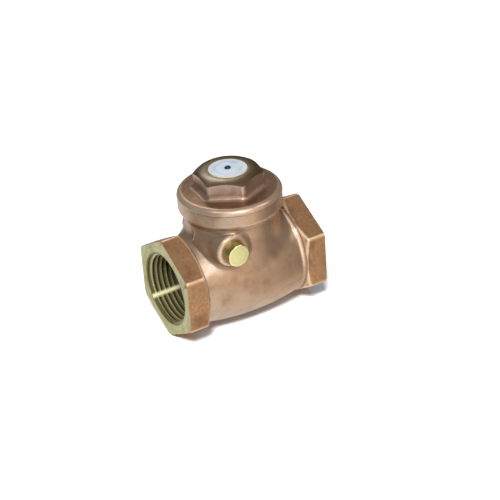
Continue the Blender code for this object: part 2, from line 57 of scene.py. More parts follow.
# %% [markdown]
# ## Sizes of the valve
# These are the sizes of the casting, the cap and the works inside, the same as in the solids. A new
# piece made from them lies exactly where its solid lies, so nothing has to be fitted by eye.

# %% Sizes of the gaps, ends and threads
GAP = 0.3
RUNNING = 0.4
PITCH = 25.4 / 14

END_AF = 33.0
INLET_X = -28.2
OUTLET_X = 27.6
INLET_HEX = 8.3
OUTLET_HEX = 8.1
END_CHAMFER = 1.2
END_STOCK = 1.2
END_EDGE = 0.55
CONE_EDGE = 0.6
INNER_EDGE = 0.5
INLET_FILLET = 0.5
OUTLET_FILLET = 0.35
CORNER_LAND = 0.2
BORE_R = 12.75
BORE_TAPER = 1 / 32
THREAD_DEPTH = 11.6
THREAD_HALF = 0.62
MOUTH_R = 13.5
MOUTH_DEPTH = 0.8
print(f"{OUTLET_X - INLET_X:.1f} mm from face to face")

# %% Sizes of the belly and the neck
BELLY_R = 17.8
BELLY_CROWN = 91.0
BELLY_TOP_X = 1.5
SHOULDER_R = 16.1
SHOULDER_W = 1.2
RIDGE_RISE = 0.3
RIDGE_EDGE = 0.7
RIDGE_FILLET = 0.4

BELLY_WALL = 3.1
CHAMBER_CROWN = 80.0
SEAT_X = -9.0
SEAT_LIP = 1.2
SEAT_WIDTH = 1.5
PORT_R = 9.3
OUTLET_STEP = 2.6

NECK_R = 16.4
NECK_FLOOR = 12.0
THROAT_FLOOR = 2.0
NECK_WALL = 2.7
COLLAR_OUT = 1.8
COLLAR_FOOT = 21.8
COLLAR_LOW = 24.4
COLLAR_TOP = 28.6
COLLAR_STOCK = 0.5
COLLAR_EDGE = 0.25
CAP_THREAD_STEP = 0.55
CAP_THREAD_DEPTH = 7.4
SADDLE_R = 4.5
SADDLE_SIDE_R = 14.0
print(f"belly {2 * BELLY_R:.1f} mm across, neck {2 * NECK_R:.1f} mm")

# %% Sizes of the cap and its plate
FLANGE_LIP = 0.15
FLANGE_T = 1.9
FLANGE_EDGE = 0.9
FLANGE_RISE = 0.7
FLANGE_LOW_EDGE = 0.22
RIM_ROUND = FLANGE_EDGE + 1.0
CAP_AF = 21.6
CAP_HEX_EDGE = 0.75
CAP_FILLET = 1.3
CAP_TOP = 37.7
CAP_TURN = radians(-6.0)
CAP_FACE_R = 9.7
CAP_CHAMFER = radians(32.0)
SKIRT_T = 2.5
SKIRT_DEPTH = 6.2
CAP_ROOF = 3.4
HOLLOW_R = 7.2
PLATE_R = 6.8
PLATE_T = 0.45
PLATE_PIN_R = 0.85
PLATE_PIN_HEAD = 0.35
PLATE_PIN_LENGTH = 2.4
GASKET_W = 1.25
GASKET_T = 0.8
print(f"cap hexagon {CAP_AF} mm across flats, its top at z {CAP_TOP}")

# %% Sizes of the hinge pin, its boss and its plug
PIN_INSET = 4.3
PIN_Z = 15.9
PIN_R = 1.75
BOSS_R = 5.75
BOSS_DRAFT = radians(4.0)
BOSS_OUT = 0.1
BOSS_EDGE = 1.1
BOSS_ROOT = 4.0
BOSS_FILLET = 1.9
PIN_SEAT = 0.6
LUG_R = 4.2
PLUG_DEPTH = 3.6
PLUG_SHANK_R = 3.3
PLUG_AF = 7.7
PLUG_CORNER_OUT = 0.2
PLUG_HEAD = 3.5
PLUG_CHAMFER = radians(40.0)
PLUG_FACE_IN = 0.15
print(f"pin {2 * PIN_R} mm thick, plug {PLUG_AF} mm across flats")

# %% Sizes of the swing arm and the disc
HUB_R = 3.0
HUB_PROUD = 0.2
EYE_R = 4.8
EYE_T = 2.4
ARM_W = 6.6
ARM_BEND_Z = 10.9
SOFT_R = 10.6
SOFT_T = 1.6
SOFT_PROUD = 0.45
HOLDER_WALL = 0.7
HOLDER_FLOOR = 1.4
HOLDER_PAD_R = 3.8
HOLDER_PAD_T = 0.5
STUD_R = 2.2
STUD_PROUD = 0.4
WASHER_R = 3.9
WASHER_T = 0.6
NUT_AF = 6.4
NUT_T = 2.4
FRONT_STUD_R = 1.7
FRONT_WASHER_R = 4.4
FRONT_NUT_AF = 5.6
FRONT_NUT_T = 2.2
print(f"soft disc {2 * SOFT_R:.1f} mm across, over a port of {2 * PORT_R:.1f} mm")

# %% Places that follow from the sizes
CHAMBER_R = BELLY_R - BELLY_WALL
NECK_BORE_R = NECK_R - NECK_WALL
COLLAR_R = NECK_R + COLLAR_OUT
CAP_THREAD_R = NECK_BORE_R + CAP_THREAD_STEP
GASKET_R = CAP_THREAD_R + GASKET_W
FLANGE_R = COLLAR_R + FLANGE_LIP
PIN_X = PIN_INSET - NECK_BORE_R
PIN_END = sqrt(NECK_BORE_R**2 - PIN_X**2) + PIN_SEAT
BOSS_FACE = NECK_R + BOSS_OUT
INLET_INNER = INLET_X + INLET_HEX
OUTLET_INNER = OUTLET_X - OUTLET_HEX
WALL_X = SEAT_X - SEAT_LIP
SEAT_OUT_R = PORT_R + SEAT_WIDTH
SOFT_X = SEAT_X + GAP
HOLDER_RIM_X = SOFT_X + SOFT_PROUD
HOLDER_FLOOR_X = SOFT_X + SOFT_T + GAP
HOLDER_BACK_X = HOLDER_FLOOR_X + HOLDER_FLOOR
HOLDER_R = SOFT_R + GAP + HOLDER_WALL
EYE_X = HOLDER_BACK_X + HOLDER_PAD_T + GAP
EYE_BACK_X = EYE_X + EYE_T
WASHER_X = EYE_BACK_X + GAP
NUT_X = WASHER_X + WASHER_T + GAP
STUD_END_X = NUT_X + NUT_T + STUD_PROUD
FRONT_WASHER_X = SOFT_X - GAP
FRONT_NUT_X = FRONT_WASHER_X - WASHER_T - GAP
FLANGE_LOW = COLLAR_TOP + GAP
FLANGE_TOP = FLANGE_LOW + FLANGE_T
CAP_HEX_LOW = FLANGE_TOP + FLANGE_RISE
GASKET_SEAT = COLLAR_TOP - GASKET_T - GAP
SKIRT_R = CAP_THREAD_R - GAP
SKIRT_LOW = FLANGE_LOW - SKIRT_DEPTH
PLUG_SEAT = -(BOSS_FACE - PLUG_DEPTH)
PIN_START = PLUG_SEAT + 2 * GAP
HUB_HALF = sqrt((NECK_BORE_R - RUNNING) ** 2 - (HUB_R - PIN_X) ** 2)
LUG_START = HUB_HALF + RUNNING
print(f"hub {2 * HUB_HALF:.1f} mm wide between its lugs, cap flange at z {FLANGE_LOW:.1f}")

# %% [markdown]
# ## Forms of a casting, as distances
# A cast surface has no hard inner corner: wherever two forms meet, the pattern maker leaves a fillet.
# Blender's Bevel can't follow the curve where a neck meets a barrel, so the casting is described by a
# distance instead: a function that is negative inside the metal and positive outside. Two distances
# join with a round inner corner, or cut each other with a round outer edge, by one line each.

# %% Join and trim distances


def joined(a, b, fillet):
    """Union of two forms with a fillet of that radius between them."""
    inner = np.hypot(np.maximum(fillet - a, 0), np.maximum(fillet - b, 0))
    return np.maximum(fillet, np.minimum(a, b)) - inner


def blended(a, b, fillet, turn):
    """The same for walls that meet at a flatter corner, where turn is how far their normals agree."""
    reach = np.maximum(fillet * (1 - turn), 0.05)
    near = np.maximum(reach - np.abs(a - b), 0) / reach
    return np.minimum(a, b) - reach * near**2 / 4


def trimmed(a, b, edge):
    """What lies in both forms, with its edge rounded to that radius."""
    outer = np.hypot(np.maximum(edge + a, 0), np.maximum(edge + b, 0))
    return np.minimum(-edge, np.maximum(a, b)) + outer


def hexagon_distance(p, q, across_flats, flat_at, edge):
    """Distance from a hexagon bar, its long edges rounded."""
    ways = [flat_at + radians(60 * i) for i in range(3)]
    flats = [np.abs(p * cos(t) + q * sin(t)) - across_flats / 2 for t in ways]
    return trimmed(trimmed(flats[0], flats[1], edge), flats[2], edge)


print("a round inner corner, 3 mm from both walls:", joined(np.array(3.0), np.array(3.0), 4.0).round(2))

# %% [markdown]
# ## From a distance to a mesh
# A grid of voxels is filled with the distance, and Blender's own volume library draws the surface where
# the distance is zero. Each point is then moved exactly onto that surface, which a plain voxel remesh
# can't do, and last it is lifted or sunk by a few hundredths of a millimetre, as sand leaves it.

# %% Mesh a cast form


def slope_of(distance, points, reach=0.02):
    """Which way the distance grows at each point."""
    slope = np.empty_like(points)
    for axis in range(3):
        ahead, behind = points.copy(), points.copy()
        ahead[:, axis] += reach
        behind[:, axis] -= reach
        slope[:, axis] = (distance(*ahead.T) - distance(*behind.T)) / (2 * reach)
    return slope


def sand_relief(points, height, grain, seed):
    """The uneven skin that the sand of the mould leaves."""
    shift = Vector((seed, 2.3 * seed, -1.7 * seed))
    return height * np.array([noise.noise(Vector(p) / grain + shift) for p in points])


def stood(name, data):
    """A new object in the scene."""
    made = bpy.data.objects.new(name, data)
    bpy.context.scene.collection.objects.link(made)
    return made


def piece_of(name, form, mesh=None):
    """Ends a bmesh: its faces look outward, and it becomes a piece of the scene."""
    mesh = mesh or bpy.data.meshes.new(name)
    bmesh.ops.recalc_face_normals(form, faces=form.faces)
    form.to_mesh(mesh)
    form.free()
    return stood(name, mesh)


def cast_form(name, distance, low, high, voxel, relief):
    """A mesh of the surface where distance is zero, between two corners in millimetres."""
    lines = [np.arange(a, b + voxel, voxel) for a, b in zip(low, high)]
    field = distance(*np.meshgrid(*lines, indexing="ij")).astype(np.float32)
    grid = openvdb.FloatGrid(3 * voxel)
    grid.copyFromArray(np.ascontiguousarray(field))
    points, triangles, quads = grid.convertToPolygons(0.0, 0.0)
    points = np.array(points, float) * voxel + np.array(low, float)
    for _ in range(3):
        slope = slope_of(distance, points)
        steep = np.maximum((slope**2).sum(1), 0.05)
        step = (distance(*points.T) / steep)[:, None] * slope
        points -= np.clip(step, -0.5 * voxel, 0.5 * voxel)
    outward = slope_of(distance, points, 0.3)
    outward /= np.linalg.norm(outward, axis=1)[:, None]
    points += outward * relief(points)[:, None]
    mesh = bpy.data.meshes.new(name)
    mesh.from_pydata(points * MM, [], [tuple(f) for f in quads] + [tuple(f) for f in triangles])
    form = bmesh.new()
    form.from_mesh(mesh)
    return piece_of(name, form, mesh)


print("cast forms are meshed at a fraction of a millimetre")

# %% [markdown]
# ## Turned and cut forms
# What a lathe makes is a profile turned about an axis, so a spin of that profile is its natural model.
# The same helper makes the tools that bore the casting. A Boolean with the manifold solver then cuts
# like a real tool: the cut faces are flat and their edges crisp against the soft casting.

# %% Lathe and tools
AXES = {
    "X": (Vector((1, 0, 0)), Vector((0, 0, 1))),
    "Y": (Vector((0, 1, 0)), Vector((0, 0, 1))),
    "Z": (Vector((0, 0, 1)), Vector((1, 0, 0))),
}


def turned(name, profile, axis, steps=128, centre=(0, 0, 0), ring=False):
    """A profile of (along, radius) points turned about an axis through centre."""
    along, outward = AXES[axis]
    origin = Vector(centre) * MM
    form = bmesh.new()
    verts = [form.verts.new(origin + (along * a + outward * r) * MM) for a, r in profile]
    pairs = list(zip(verts, verts[1:])) + ([(verts[-1], verts[0])] if ring else [])
    edges = [form.edges.new(pair) for pair in pairs]
    bmesh.ops.spin(form, geom=verts + edges, cent=origin, axis=along, angle=2 * pi, steps=steps)
    bmesh.ops.remove_doubles(form, verts=form.verts, dist=1e-7)
    return piece_of(name, form)


def rod(name, axis, low, high, radius, centre=(0, 0, 0), steps=96):
    return turned(name, [(low, 0), (low, radius), (high, radius), (high, 0)], axis, steps, centre)


def rounded(profile, radius, steps=4):
    """The same profile with its inner points rounded off."""
    made = [profile[0]]
    for before, corner, after in zip(profile, profile[1:], profile[2:]):
        b, c, a = (Vector(p) for p in (before, corner, after))
        reach = min(radius, (b - c).length * 0.45, (a - c).length * 0.45)
        start, end = c + (b - c).normalized() * reach, c + (a - c).normalized() * reach
        for i in range(steps + 1):
            t = i / steps
            made.append(tuple(start * (1 - t) ** 2 + c * 2 * t * (1 - t) + end * t**2))
    return made + [profile[-1]]


def bar(name, outline, axis, low, high, centre=(0, 0, 0)):
    """A flat outline pushed along an axis. On X it is (y, z), on Y (x, z) and on Z (x, y)."""
    place = {
        "X": lambda a, p: Vector((a, p[0], p[1])),
        "Y": lambda a, p: Vector((p[0], a, p[1])),
        "Z": lambda a, p: Vector((p[0], p[1], a)),
    }[axis]
    form = bmesh.new()
    rings = [[form.verts.new((Vector(centre) + place(a, p)) * MM) for p in outline] for a in (low, high)]
    form.faces.new(rings[0])
    form.faces.new(rings[1])
    for i in range(len(outline)):
        n = (i + 1) % len(outline)
        form.faces.new((rings[0][i], rings[0][n], rings[1][n], rings[1][i]))
    return piece_of(name, form)


def hexagon(across_flats):
    corner = across_flats / sqrt(3)
    turns = [radians(30 + 60 * i) for i in range(6)]
    return [(corner * cos(t), corner * sin(t)) for t in turns]


def shaped(piece, operation, *tools):
    """Cuts, joins or trims a piece with tools, which are used up."""
    for tool in tools:
        step = piece.modifiers.new(tool.name, "BOOLEAN")
        step.operation = operation
        step.object = tool
        step.solver = "MANIFOLD"
    made = piece.evaluated_get(bpy.context.evaluated_depsgraph_get())
    mesh = bpy.data.meshes.new_from_object(made)
    piece.modifiers.clear()
    piece.data = mesh
    for tool in tools:
        bpy.data.objects.remove(tool)
    return piece


print("lathe and tools ready")

# %% [markdown]
# ## Cutting a screw thread
# A pipe thread is one groove that winds round a bore as the bore narrows. If its mesh lines ran straight
# along the bore, they would cross the crests and fray them, so the grid is sheared: each row follows the
# helix, and the end of a turn joins the start of the next. The groove fades at the inner end, as a tap
# leaves it.

# %% A thread as a solid plug
# Each row is a share of the pitch, and -1 in the groove or 1 on the crest.
THREAD_ROWS = [(0.0, -1.0), (0.1, -1.0), (0.42, 1.0), (0.5, 1.0), (0.58, 1.0), (0.9, -1.0)]


def bore_r(depth):
    """Mean radius of the tapered thread, that far in from the face."""
    return BORE_R - BORE_TAPER * depth


def thread_plug(name, start, way, length, run_out, steps=144):
    """A closed screw whose crests bite into a bore's wall. It starts outside the mouth at start."""
    along, up = AXES["X"]
    side = along.cross(up)
    per_turn, clear = len(THREAD_ROWS), 0.6
    turns = ceil(length / PITCH) + 1
    form = bmesh.new()
    grid = []
    for i in range(turns * per_turn):
        phase, lift = THREAD_ROWS[i % per_turn]
        row = []
        for j in range(steps):
            turn = 2 * pi * j / steps
            depth = PITCH * (i // per_turn + phase + j / steps - 1)
            bite = min(max((length - depth) / run_out, 0), 1)
            radius = bore_r(depth) + THREAD_HALF * ((lift + 1) * bite - 1) - (0 if bite else clear)
            place = along * (start + way * depth) + (up * cos(turn) + side * sin(turn)) * radius
            row.append(form.verts.new(place * MM))
        grid.append(row)
    last = len(grid) - 1

    def beyond(i, j):
        """The next point along a row, one turn on at the seam."""
        if j + 1 < steps:
            return grid[i][j + 1]
        return grid[i + per_turn][0] if i + per_turn <= last else None

    for i in range(last):
        for j in range(steps):
            corners = (grid[i][j], beyond(i, j), beyond(i + 1, j), grid[i + 1][j])
            if None not in corners:
                form.faces.new(corners)
    first_loop = grid[0] + [grid[i][0] for i in range(per_turn, 0, -1)]
    last_loop = grid[last] + [grid[i][-1] for i in range(last - 1, last - per_turn - 1, -1)]
    for loop in (first_loop, last_loop):
        middle = sum((v.co.dot(along) for v in loop), 0.0) / len(loop)
        hub = form.verts.new(along * middle)
        for k in range(len(loop)):
            form.faces.new((hub, loop[k], loop[(k + 1) % len(loop)]))
    return piece_of(name, form)


print(f"{THREAD_DEPTH / PITCH:.1f} turns of thread at each end, {PITCH:.3f} mm apart")

# %% [markdown]
# ## The body casting
# The belly is a long barrel, the neck a cylinder that widens to a collar, the ends are hexagons with
# their inner corners turned down, and a round boss on the side takes the hinge pin's plug. All of them
# are one casting, so they join by fillets. Where the neck's wall runs almost along the belly's, the
# fillet is long and shallow, because two walls that run together leave little corner to fill.

# %% Distance of the casting


def crowned(x, radius, crown):
    return radius - (crown - np.sqrt(crown**2 - (x - BELLY_TOP_X) ** 2))


def end_distance(x, y, z, rho, outer, inner):
    """A hexagon end. It runs on past the outer face, which is cut later."""
    way = 1 if inner > outer else -1
    inside = (inner - x) * way
    flat_r, corner_r = END_AF / 2, END_AF / sqrt(3)
    rise = (corner_r - flat_r - CORNER_LAND) / END_CHAMFER
    cone = (rho - (flat_r + CORNER_LAND + rise * inside)) / sqrt(1 + rise**2)
    form = hexagon_distance(y, z, END_AF, 0.0, END_EDGE)
    form = trimmed(trimmed(form, cone, CONE_EDGE), -inside, INNER_EDGE)
    return np.maximum(form, (outer - x) * way - END_STOCK)


def neck_distance(x, y, z):
    rho = np.hypot(x, y)
    heights, radii = [COLLAR_FOOT, COLLAR_LOW, COLLAR_LOW + 0.6], [NECK_R, COLLAR_R - 0.1, COLLAR_R]
    wide = np.interp(z, heights, radii)
    slope = (COLLAR_R - NECK_R) / (COLLAR_LOW - COLLAR_FOOT)
    lean = np.where((z > COLLAR_FOOT) & (z < COLLAR_LOW), 1 / sqrt(1 + slope**2), 1.0)
    side = (rho - wide) * lean
    return np.maximum(trimmed(side, z - COLLAR_TOP - COLLAR_STOCK, COLLAR_EDGE), -z)


def boss_distance(x, y, z):
    away = np.hypot(x - PIN_X, z - PIN_Z)
    wide = BOSS_R + (BOSS_FACE + y) * tan(BOSS_DRAFT)
    side = (away - wide) * cos(BOSS_DRAFT)
    return np.maximum(trimmed(side, -y - BOSS_FACE, BOSS_EDGE), y + BOSS_ROOT)


def casting_distance(x, y, z):
    rho = np.hypot(y, z)
    barrel = rho - crowned(x, BELLY_R, BELLY_CROWN)
    barrel = np.maximum(barrel, np.maximum(INLET_INNER - 1 - x, x - OUTLET_INNER - 1))
    ridge = trimmed(rho - SHOULDER_R - RIDGE_RISE, OUTLET_INNER - SHOULDER_W - x, RIDGE_EDGE)
    belly = joined(barrel, np.maximum(ridge, x - OUTLET_INNER - 1), RIDGE_FILLET)
    neck = neck_distance(x, y, z)
    around = np.maximum(np.hypot(x, y), 1e-6)
    agree = y**2 / np.maximum(rho * around, 1e-6)
    fillet = SADDLE_R + (SADDLE_SIDE_R - SADDLE_R) * (y / around) ** 2
    form = blended(belly, neck, fillet, agree)
    form = joined(form, boss_distance(x, y, z), BOSS_FILLET)
    form = joined(form, end_distance(x, y, z, rho, INLET_X, INLET_INNER), INLET_FILLET)
    return joined(form, end_distance(x, y, z, rho, OUTLET_X, OUTLET_INNER), OUTLET_FILLET)


print("on the belly's side the distance is", casting_distance(0.0, -BELLY_R, 0.0).round(2))

# %% Mesh the casting


def casting_relief(points):
    """Tumbled belly, rougher hexagons."""
    hexagons = (points[:, 0] < INLET_INNER) | (points[:, 0] > OUTLET_INNER)
    broad = sand_relief(points, height=0.05, grain=3.2, seed=1.0)
    fine = sand_relief(points, height=1.0, grain=0.9, seed=5.0) * np.where(hexagons, 0.045, 0.012)
    return broad + fine


body = cast_form(
    "body_casting",
    casting_distance,
    low=(INLET_X - 2, -20.4, -20.4),
    high=(OUTLET_X + 2, 20.4, COLLAR_TOP + END_STOCK),
    voxel=0.42,
    relief=casting_relief,
)
print("casting", len(body.data.polygons), "faces")

# %% [markdown]
# ## Boring the body
# The lathe faces both ends and the collar's top, bores the waterway with its raised seat, and cuts the
# pipe threads. The neck's bore goes on down behind the seat's wall, so that the disc can swing up.

# %% Tools for the body


def waterway_tool():
    past = 3.0
    inlet_end, outlet_end = INLET_X + THREAD_DEPTH, OUTLET_X - THREAD_DEPTH
    crest = THREAD_HALF
    profile = [(INLET_X - past, 0), (INLET_X - past, MOUTH_R + past), (INLET_X, MOUTH_R)]
    profile += [(INLET_X + MOUTH_DEPTH, bore_r(0) - crest), (inlet_end, bore_r(THREAD_DEPTH) - crest)]
    profile += [(inlet_end + 0.6, PORT_R + 0.6), (inlet_end + 1.2, PORT_R), (SEAT_X - 0.3, PORT_R)]
    profile += [(SEAT_X, PORT_R + 0.3), (SEAT_X, SEAT_OUT_R), (WALL_X, SEAT_OUT_R)]
    start, end = WALL_X + 0.8, outlet_end - OUTLET_STEP
    profile += [(WALL_X, float(crowned(WALL_X, CHAMBER_R, CHAMBER_CROWN)) - 0.8)]
    for i in range(25):
        x = start + (end - start) * i / 24
        profile.append((x, float(crowned(x, CHAMBER_R, CHAMBER_CROWN))))
    profile += [(outlet_end, bore_r(THREAD_DEPTH) - crest), (OUTLET_X - MOUTH_DEPTH, bore_r(0) - crest)]
    profile += [(OUTLET_X, MOUTH_R), (OUTLET_X + past, MOUTH_R + past), (OUTLET_X + past, 0)]
    return turned("waterway", profile, "X", 160)


def facing_tool(name, face, way):
    """Faces an end and breaks the corners of its hexagon."""
    corner_r, deep, past, wide = END_AF / sqrt(3), 0.9, 6, 26
    profile = [(face, 0), (face, corner_r - 0.55), (face + way * deep, corner_r + 0.35)]
    profile += [(face + way * deep, wide), (face - way * past, wide), (face - way * past, 0)]
    return turned(name, profile, "X", 96)


def throat_tool():
    half = acos(WALL_X / NECK_BORE_R)
    turns = [half * (2 * i / 72 - 1) for i in range(73)]
    outline = [(NECK_BORE_R * cos(t), NECK_BORE_R * sin(t)) for t in turns]
    return bar("throat", outline, "Z", THROAT_FLOOR, NECK_FLOOR + 1)


def neck_tool():
    low = COLLAR_TOP - CAP_THREAD_DEPTH
    step_r = GASKET_R + GAP
    profile = [(NECK_FLOOR, 0), (NECK_FLOOR, NECK_BORE_R), (low, NECK_BORE_R), (low, CAP_THREAD_R)]
    profile += [(GASKET_SEAT, CAP_THREAD_R), (GASKET_SEAT, step_r), (COLLAR_TOP + 2, step_r)]
    profile += [(COLLAR_TOP + 2, 0)]
    return turned("neck_bore", profile, "Z", 144)


print("ends faced at x", INLET_X, "and", OUTLET_X, "- collar at z", COLLAR_TOP)

# %% Bore the body
pin_centre = (PIN_X, 0, PIN_Z)
lug_end = sqrt(NECK_BORE_R**2 - PIN_X**2) + 1.2
collar_facing = rod("collar_facing", "Z", COLLAR_TOP, COLLAR_TOP + 3, radius=22)
facings = [facing_tool("inlet_facing", INLET_X, 1), facing_tool("outlet_facing", OUTLET_X, -1)]
shaped(body, "DIFFERENCE", *facings)
shaped(body, "DIFFERENCE", waterway_tool(), throat_tool(), neck_tool(), collar_facing)
ends = [("inlet_thread", INLET_X, 1), ("outlet_thread", OUTLET_X, -1)]
cut = {"length": THREAD_DEPTH - 0.3, "run_out": 2.2}
shaped(body, "DIFFERENCE", *[thread_plug(*end, **cut) for end in ends])
near_lug = rod("near_lug", "Y", -lug_end, -LUG_START, LUG_R, pin_centre)
far_lug = rod("far_lug", "Y", LUG_START, lug_end, LUG_R, pin_centre)
shaped(body, "UNION", near_lug, far_lug)
plug_hole = rod("plug_hole", "Y", -BOSS_FACE - 1, PLUG_SEAT, PLUG_SHANK_R + GAP, pin_centre)
pin_bore = rod("pin_bore", "Y", PLUG_SEAT - 1, PIN_END + GAP, PIN_R + GAP, pin_centre)
shaped(body, "DIFFERENCE", plug_hole, pin_bore)
print("bored body", len(body.data.polygons), "faces")

# %% [markdown]
# ## The cap
# The cap is a second casting: a round flange and a hexagon, joined by a fillet that catches the light
# along the foot of each flat. After casting, a lathe turns the crown at the top of the hexagon, which
# leaves the curved line where cone and flats meet, and bores the recess for the small plate.

# %% Cast and turn the cap
SEATED = 0.04  # the dressed pieces lie this close, where the solids keep a gap


def cap_distance(x, y, z):
    rho = np.hypot(x, y)
    hex_r = CAP_AF / 2
    slope = FLANGE_RISE / (FLANGE_R - hex_r)
    top = (z - FLANGE_TOP - slope * (FLANGE_R - rho)) / sqrt(1 + slope**2)
    flange = trimmed(rho - FLANGE_R, top, RIM_ROUND)
    bars = np.maximum(hexagon_distance(x, y, CAP_AF, CAP_TURN, CAP_HEX_EDGE), FLANGE_LOW - z)
    form = joined(flange, bars, CAP_FILLET)
    low = COLLAR_TOP + SEATED
    return np.maximum(trimmed(form, low - z, FLANGE_LOW_EDGE), z - CAP_TOP - END_STOCK)


def cap_relief(points):
    broad = sand_relief(points, height=0.035, grain=2.4, seed=11.0)
    return broad + sand_relief(points, height=0.004, grain=0.8, seed=17.0) - 0.02


cap = cast_form(
    "cap_casting",
    cap_distance,
    low=(-19.4, -19.4, 27.6),
    high=(19.4, 19.4, 39.6),
    voxel=0.3,
    relief=cap_relief,
)


def crown_tool():
    rise = tan(CAP_CHAMFER)
    wide = CAP_AF / sqrt(3) + 1
    profile = [(CAP_TOP, 0), (CAP_TOP, CAP_FACE_R), (CAP_TOP - (wide - CAP_FACE_R) * rise, wide)]
    profile += [(CAP_TOP + 4, wide), (CAP_TOP + 4, 0)]
    return turned("crown", profile, "Z", 160)


def cap_hollow_tool():
    skirt_in = SKIRT_R - SKIRT_T
    roof = FLANGE_LOW + 0.6
    top = CAP_TOP - CAP_ROOF
    profile = [(SKIRT_LOW - 2, 0), (SKIRT_LOW - 2, skirt_in), (roof, skirt_in)]
    profile += [(roof + 0.8, skirt_in - 0.8), (roof + 0.8, HOLLOW_R)]
    profile += [(top - 1, HOLLOW_R), (top, HOLLOW_R - 1), (top, 0)]
    return turned("cap_hollow", profile, "Z", 128)


skirt_top = FLANGE_LOW + 0.5
skirt_profile = [(SKIRT_LOW, 0), (SKIRT_LOW, SKIRT_R), (skirt_top, SKIRT_R), (skirt_top, 0)]
shaped(cap, "UNION", turned("skirt", rounded(skirt_profile, 0.35), "Z", 144))
recess = rod("plate_recess", "Z", CAP_TOP - PLATE_T, CAP_TOP + 1, PLATE_R + GAP, steps=128)
pin_hole_low = CAP_TOP - PLATE_PIN_LENGTH - GAP
plate_pin_hole = rod("plate_pin_hole", "Z", pin_hole_low, CAP_TOP + 1, PLATE_PIN_R + GAP, steps=48)
shaped(cap, "DIFFERENCE", crown_tool(), cap_hollow_tool(), recess, plate_pin_hole)
print("cap", len(cap.data.polygons), "faces")

# %% [markdown]
# ## Small turned pieces
# Pins, washers, the gasket and the disc assembly all come off a lathe. A fine chamfer on each edge is
# what makes such a piece look real, because the edge then shows as a thin bright line.

# %% Plate, plate pin, gasket and hinge pin


def ring(name, axis, low, high, inner, outer, edge):
    """A flat ring with a chamfer on each of its four edges."""
    section = [(low, inner + edge), (low, outer - edge), (low + edge, outer), (high - edge, outer)]
    section += [(high, outer - edge), (high, inner + edge), (high - edge, inner), (low + edge, inner)]
    return turned(name, section, axis, ring=True)


plate_low = CAP_TOP - PLATE_T + SEATED
head_low = plate_low + PLATE_T + GAP / 2
id_plate = ring("id_plate_disc", "Z", plate_low, head_low, PLATE_PIN_R + GAP / 2, PLATE_R, 0.1)

pin_tip = CAP_TOP - PLATE_PIN_LENGTH
head_r, head_rise = PLATE_PIN_R + GAP, CAP_TOP + 2 * GAP + PLATE_PIN_HEAD - head_low
rivet_profile = [(pin_tip, 0), (pin_tip, PLATE_PIN_R - 0.2), (pin_tip + 0.3, PLATE_PIN_R)]
rivet_profile += [(head_low, PLATE_PIN_R), (head_low, head_r)]
for t in (radians(15 * i) for i in range(1, 6)):
    rivet_profile.append((head_low + head_rise * sin(t), head_r * cos(t)))
rivet_profile.append((head_low + head_rise, 0))
id_plate_pin = turned("id_plate_rivet", rivet_profile, "Z", 48)

gasket = ring("gasket_ring", "Z", GASKET_SEAT + SEATED, COLLAR_TOP, CAP_THREAD_R, GASKET_R, 0.08)

PIN_CHAMFER = 0.3
tip_r = PIN_R - PIN_CHAMFER
pin_profile = [(PIN_START, 0), (PIN_START, tip_r), (PIN_START + PIN_CHAMFER, PIN_R)]
pin_profile += [(PIN_END - PIN_CHAMFER, PIN_R), (PIN_END, tip_r), (PIN_END, 0)]
hinge_pin = turned("hinge_pin_rod", pin_profile, "Y", 64, pin_centre)
print("plate", len(id_plate.data.polygons), "faces, gasket", len(gasket.data.polygons))

# %% [markdown]
# ## The pin plug
# The plug is turned from hexagon bar. The lathe takes its corners down with a cone, so the face is
# round and the six flats end in arcs. Its shank has a fine thread, and its face keeps the rings of the
# tool that cut it off the bar.

# %% Turn the plug


def fine_screw(name, start, end, radius, pitch, half, steps=72):
    """A shank on the pin's line with a fine screw thread, closed at both ends."""
    along, up = AXES["Y"]
    side = along.cross(up)
    length = end - start
    rows = int(length / pitch * 6)
    form = bmesh.new()
    base = Vector(pin_centre)
    made = []
    for i in range(rows + 1):
        depth = length * i / rows
        fade = min(depth / (0.8 * pitch), (length - depth) / (0.8 * pitch), 1)
        line = []
        for j in range(steps):
            wave = cos(2 * pi * (depth / pitch - j / steps))
            r = radius - half * (1 - max(fade, 0)) - half * (1 - wave) / 2 * max(fade, 0)
            turn = 2 * pi * j / steps
            place = base + along * (start + depth) + (up * cos(turn) + side * sin(turn)) * r
            line.append(form.verts.new(place * MM))
        made.append(line)
    for a, b in zip(made, made[1:]):
        for j in range(steps):
            n = (j + 1) % steps
            form.faces.new((a[j], a[n], b[n], b[j]))
    form.faces.new(made[0])
    form.faces.new(made[-1])
    return piece_of(name, form)


plug_seat = -(BOSS_FACE + SEATED)
plug_face = -(BOSS_FACE + GAP) - PLUG_HEAD
face_r, corner_r = PLUG_AF / 2 - PLUG_FACE_IN, PLUG_AF / 2 + PLUG_CORNER_OUT
cone_end = plug_face + (corner_r - face_r) * tan(PLUG_CHAMFER)
crown_profile = [(plug_face, 0), (plug_face, face_r), (cone_end, corner_r), (plug_seat, corner_r)]
crown_profile = rounded(crown_profile, 0.2, 3) + [(plug_seat, 0)]
plug = bar("pin_plug_screw", hexagon(PLUG_AF), "Y", plug_face, plug_seat, pin_centre)
shaped(plug, "INTERSECT", turned("plug_crown", crown_profile, "Y", 128, pin_centre))
shank = fine_screw("plug_shank", plug_seat - 0.4, PLUG_SEAT - GAP, PLUG_SHANK_R, pitch=0.9, half=0.3)
shaped(plug, "UNION", shank)
print("plug", len(plug.data.polygons), "faces")

# %% [markdown]
# ## The swing arm
# The arm is a small casting too: a round eye for the disc's stud, a flat bar that bends forward at the
# top, and a hub on the hinge pin. Its side view and its front view are two outlines, and the arm is what
# lies in both, with soft edges. Both holes are drilled afterwards.

# %% Distance of the swing arm


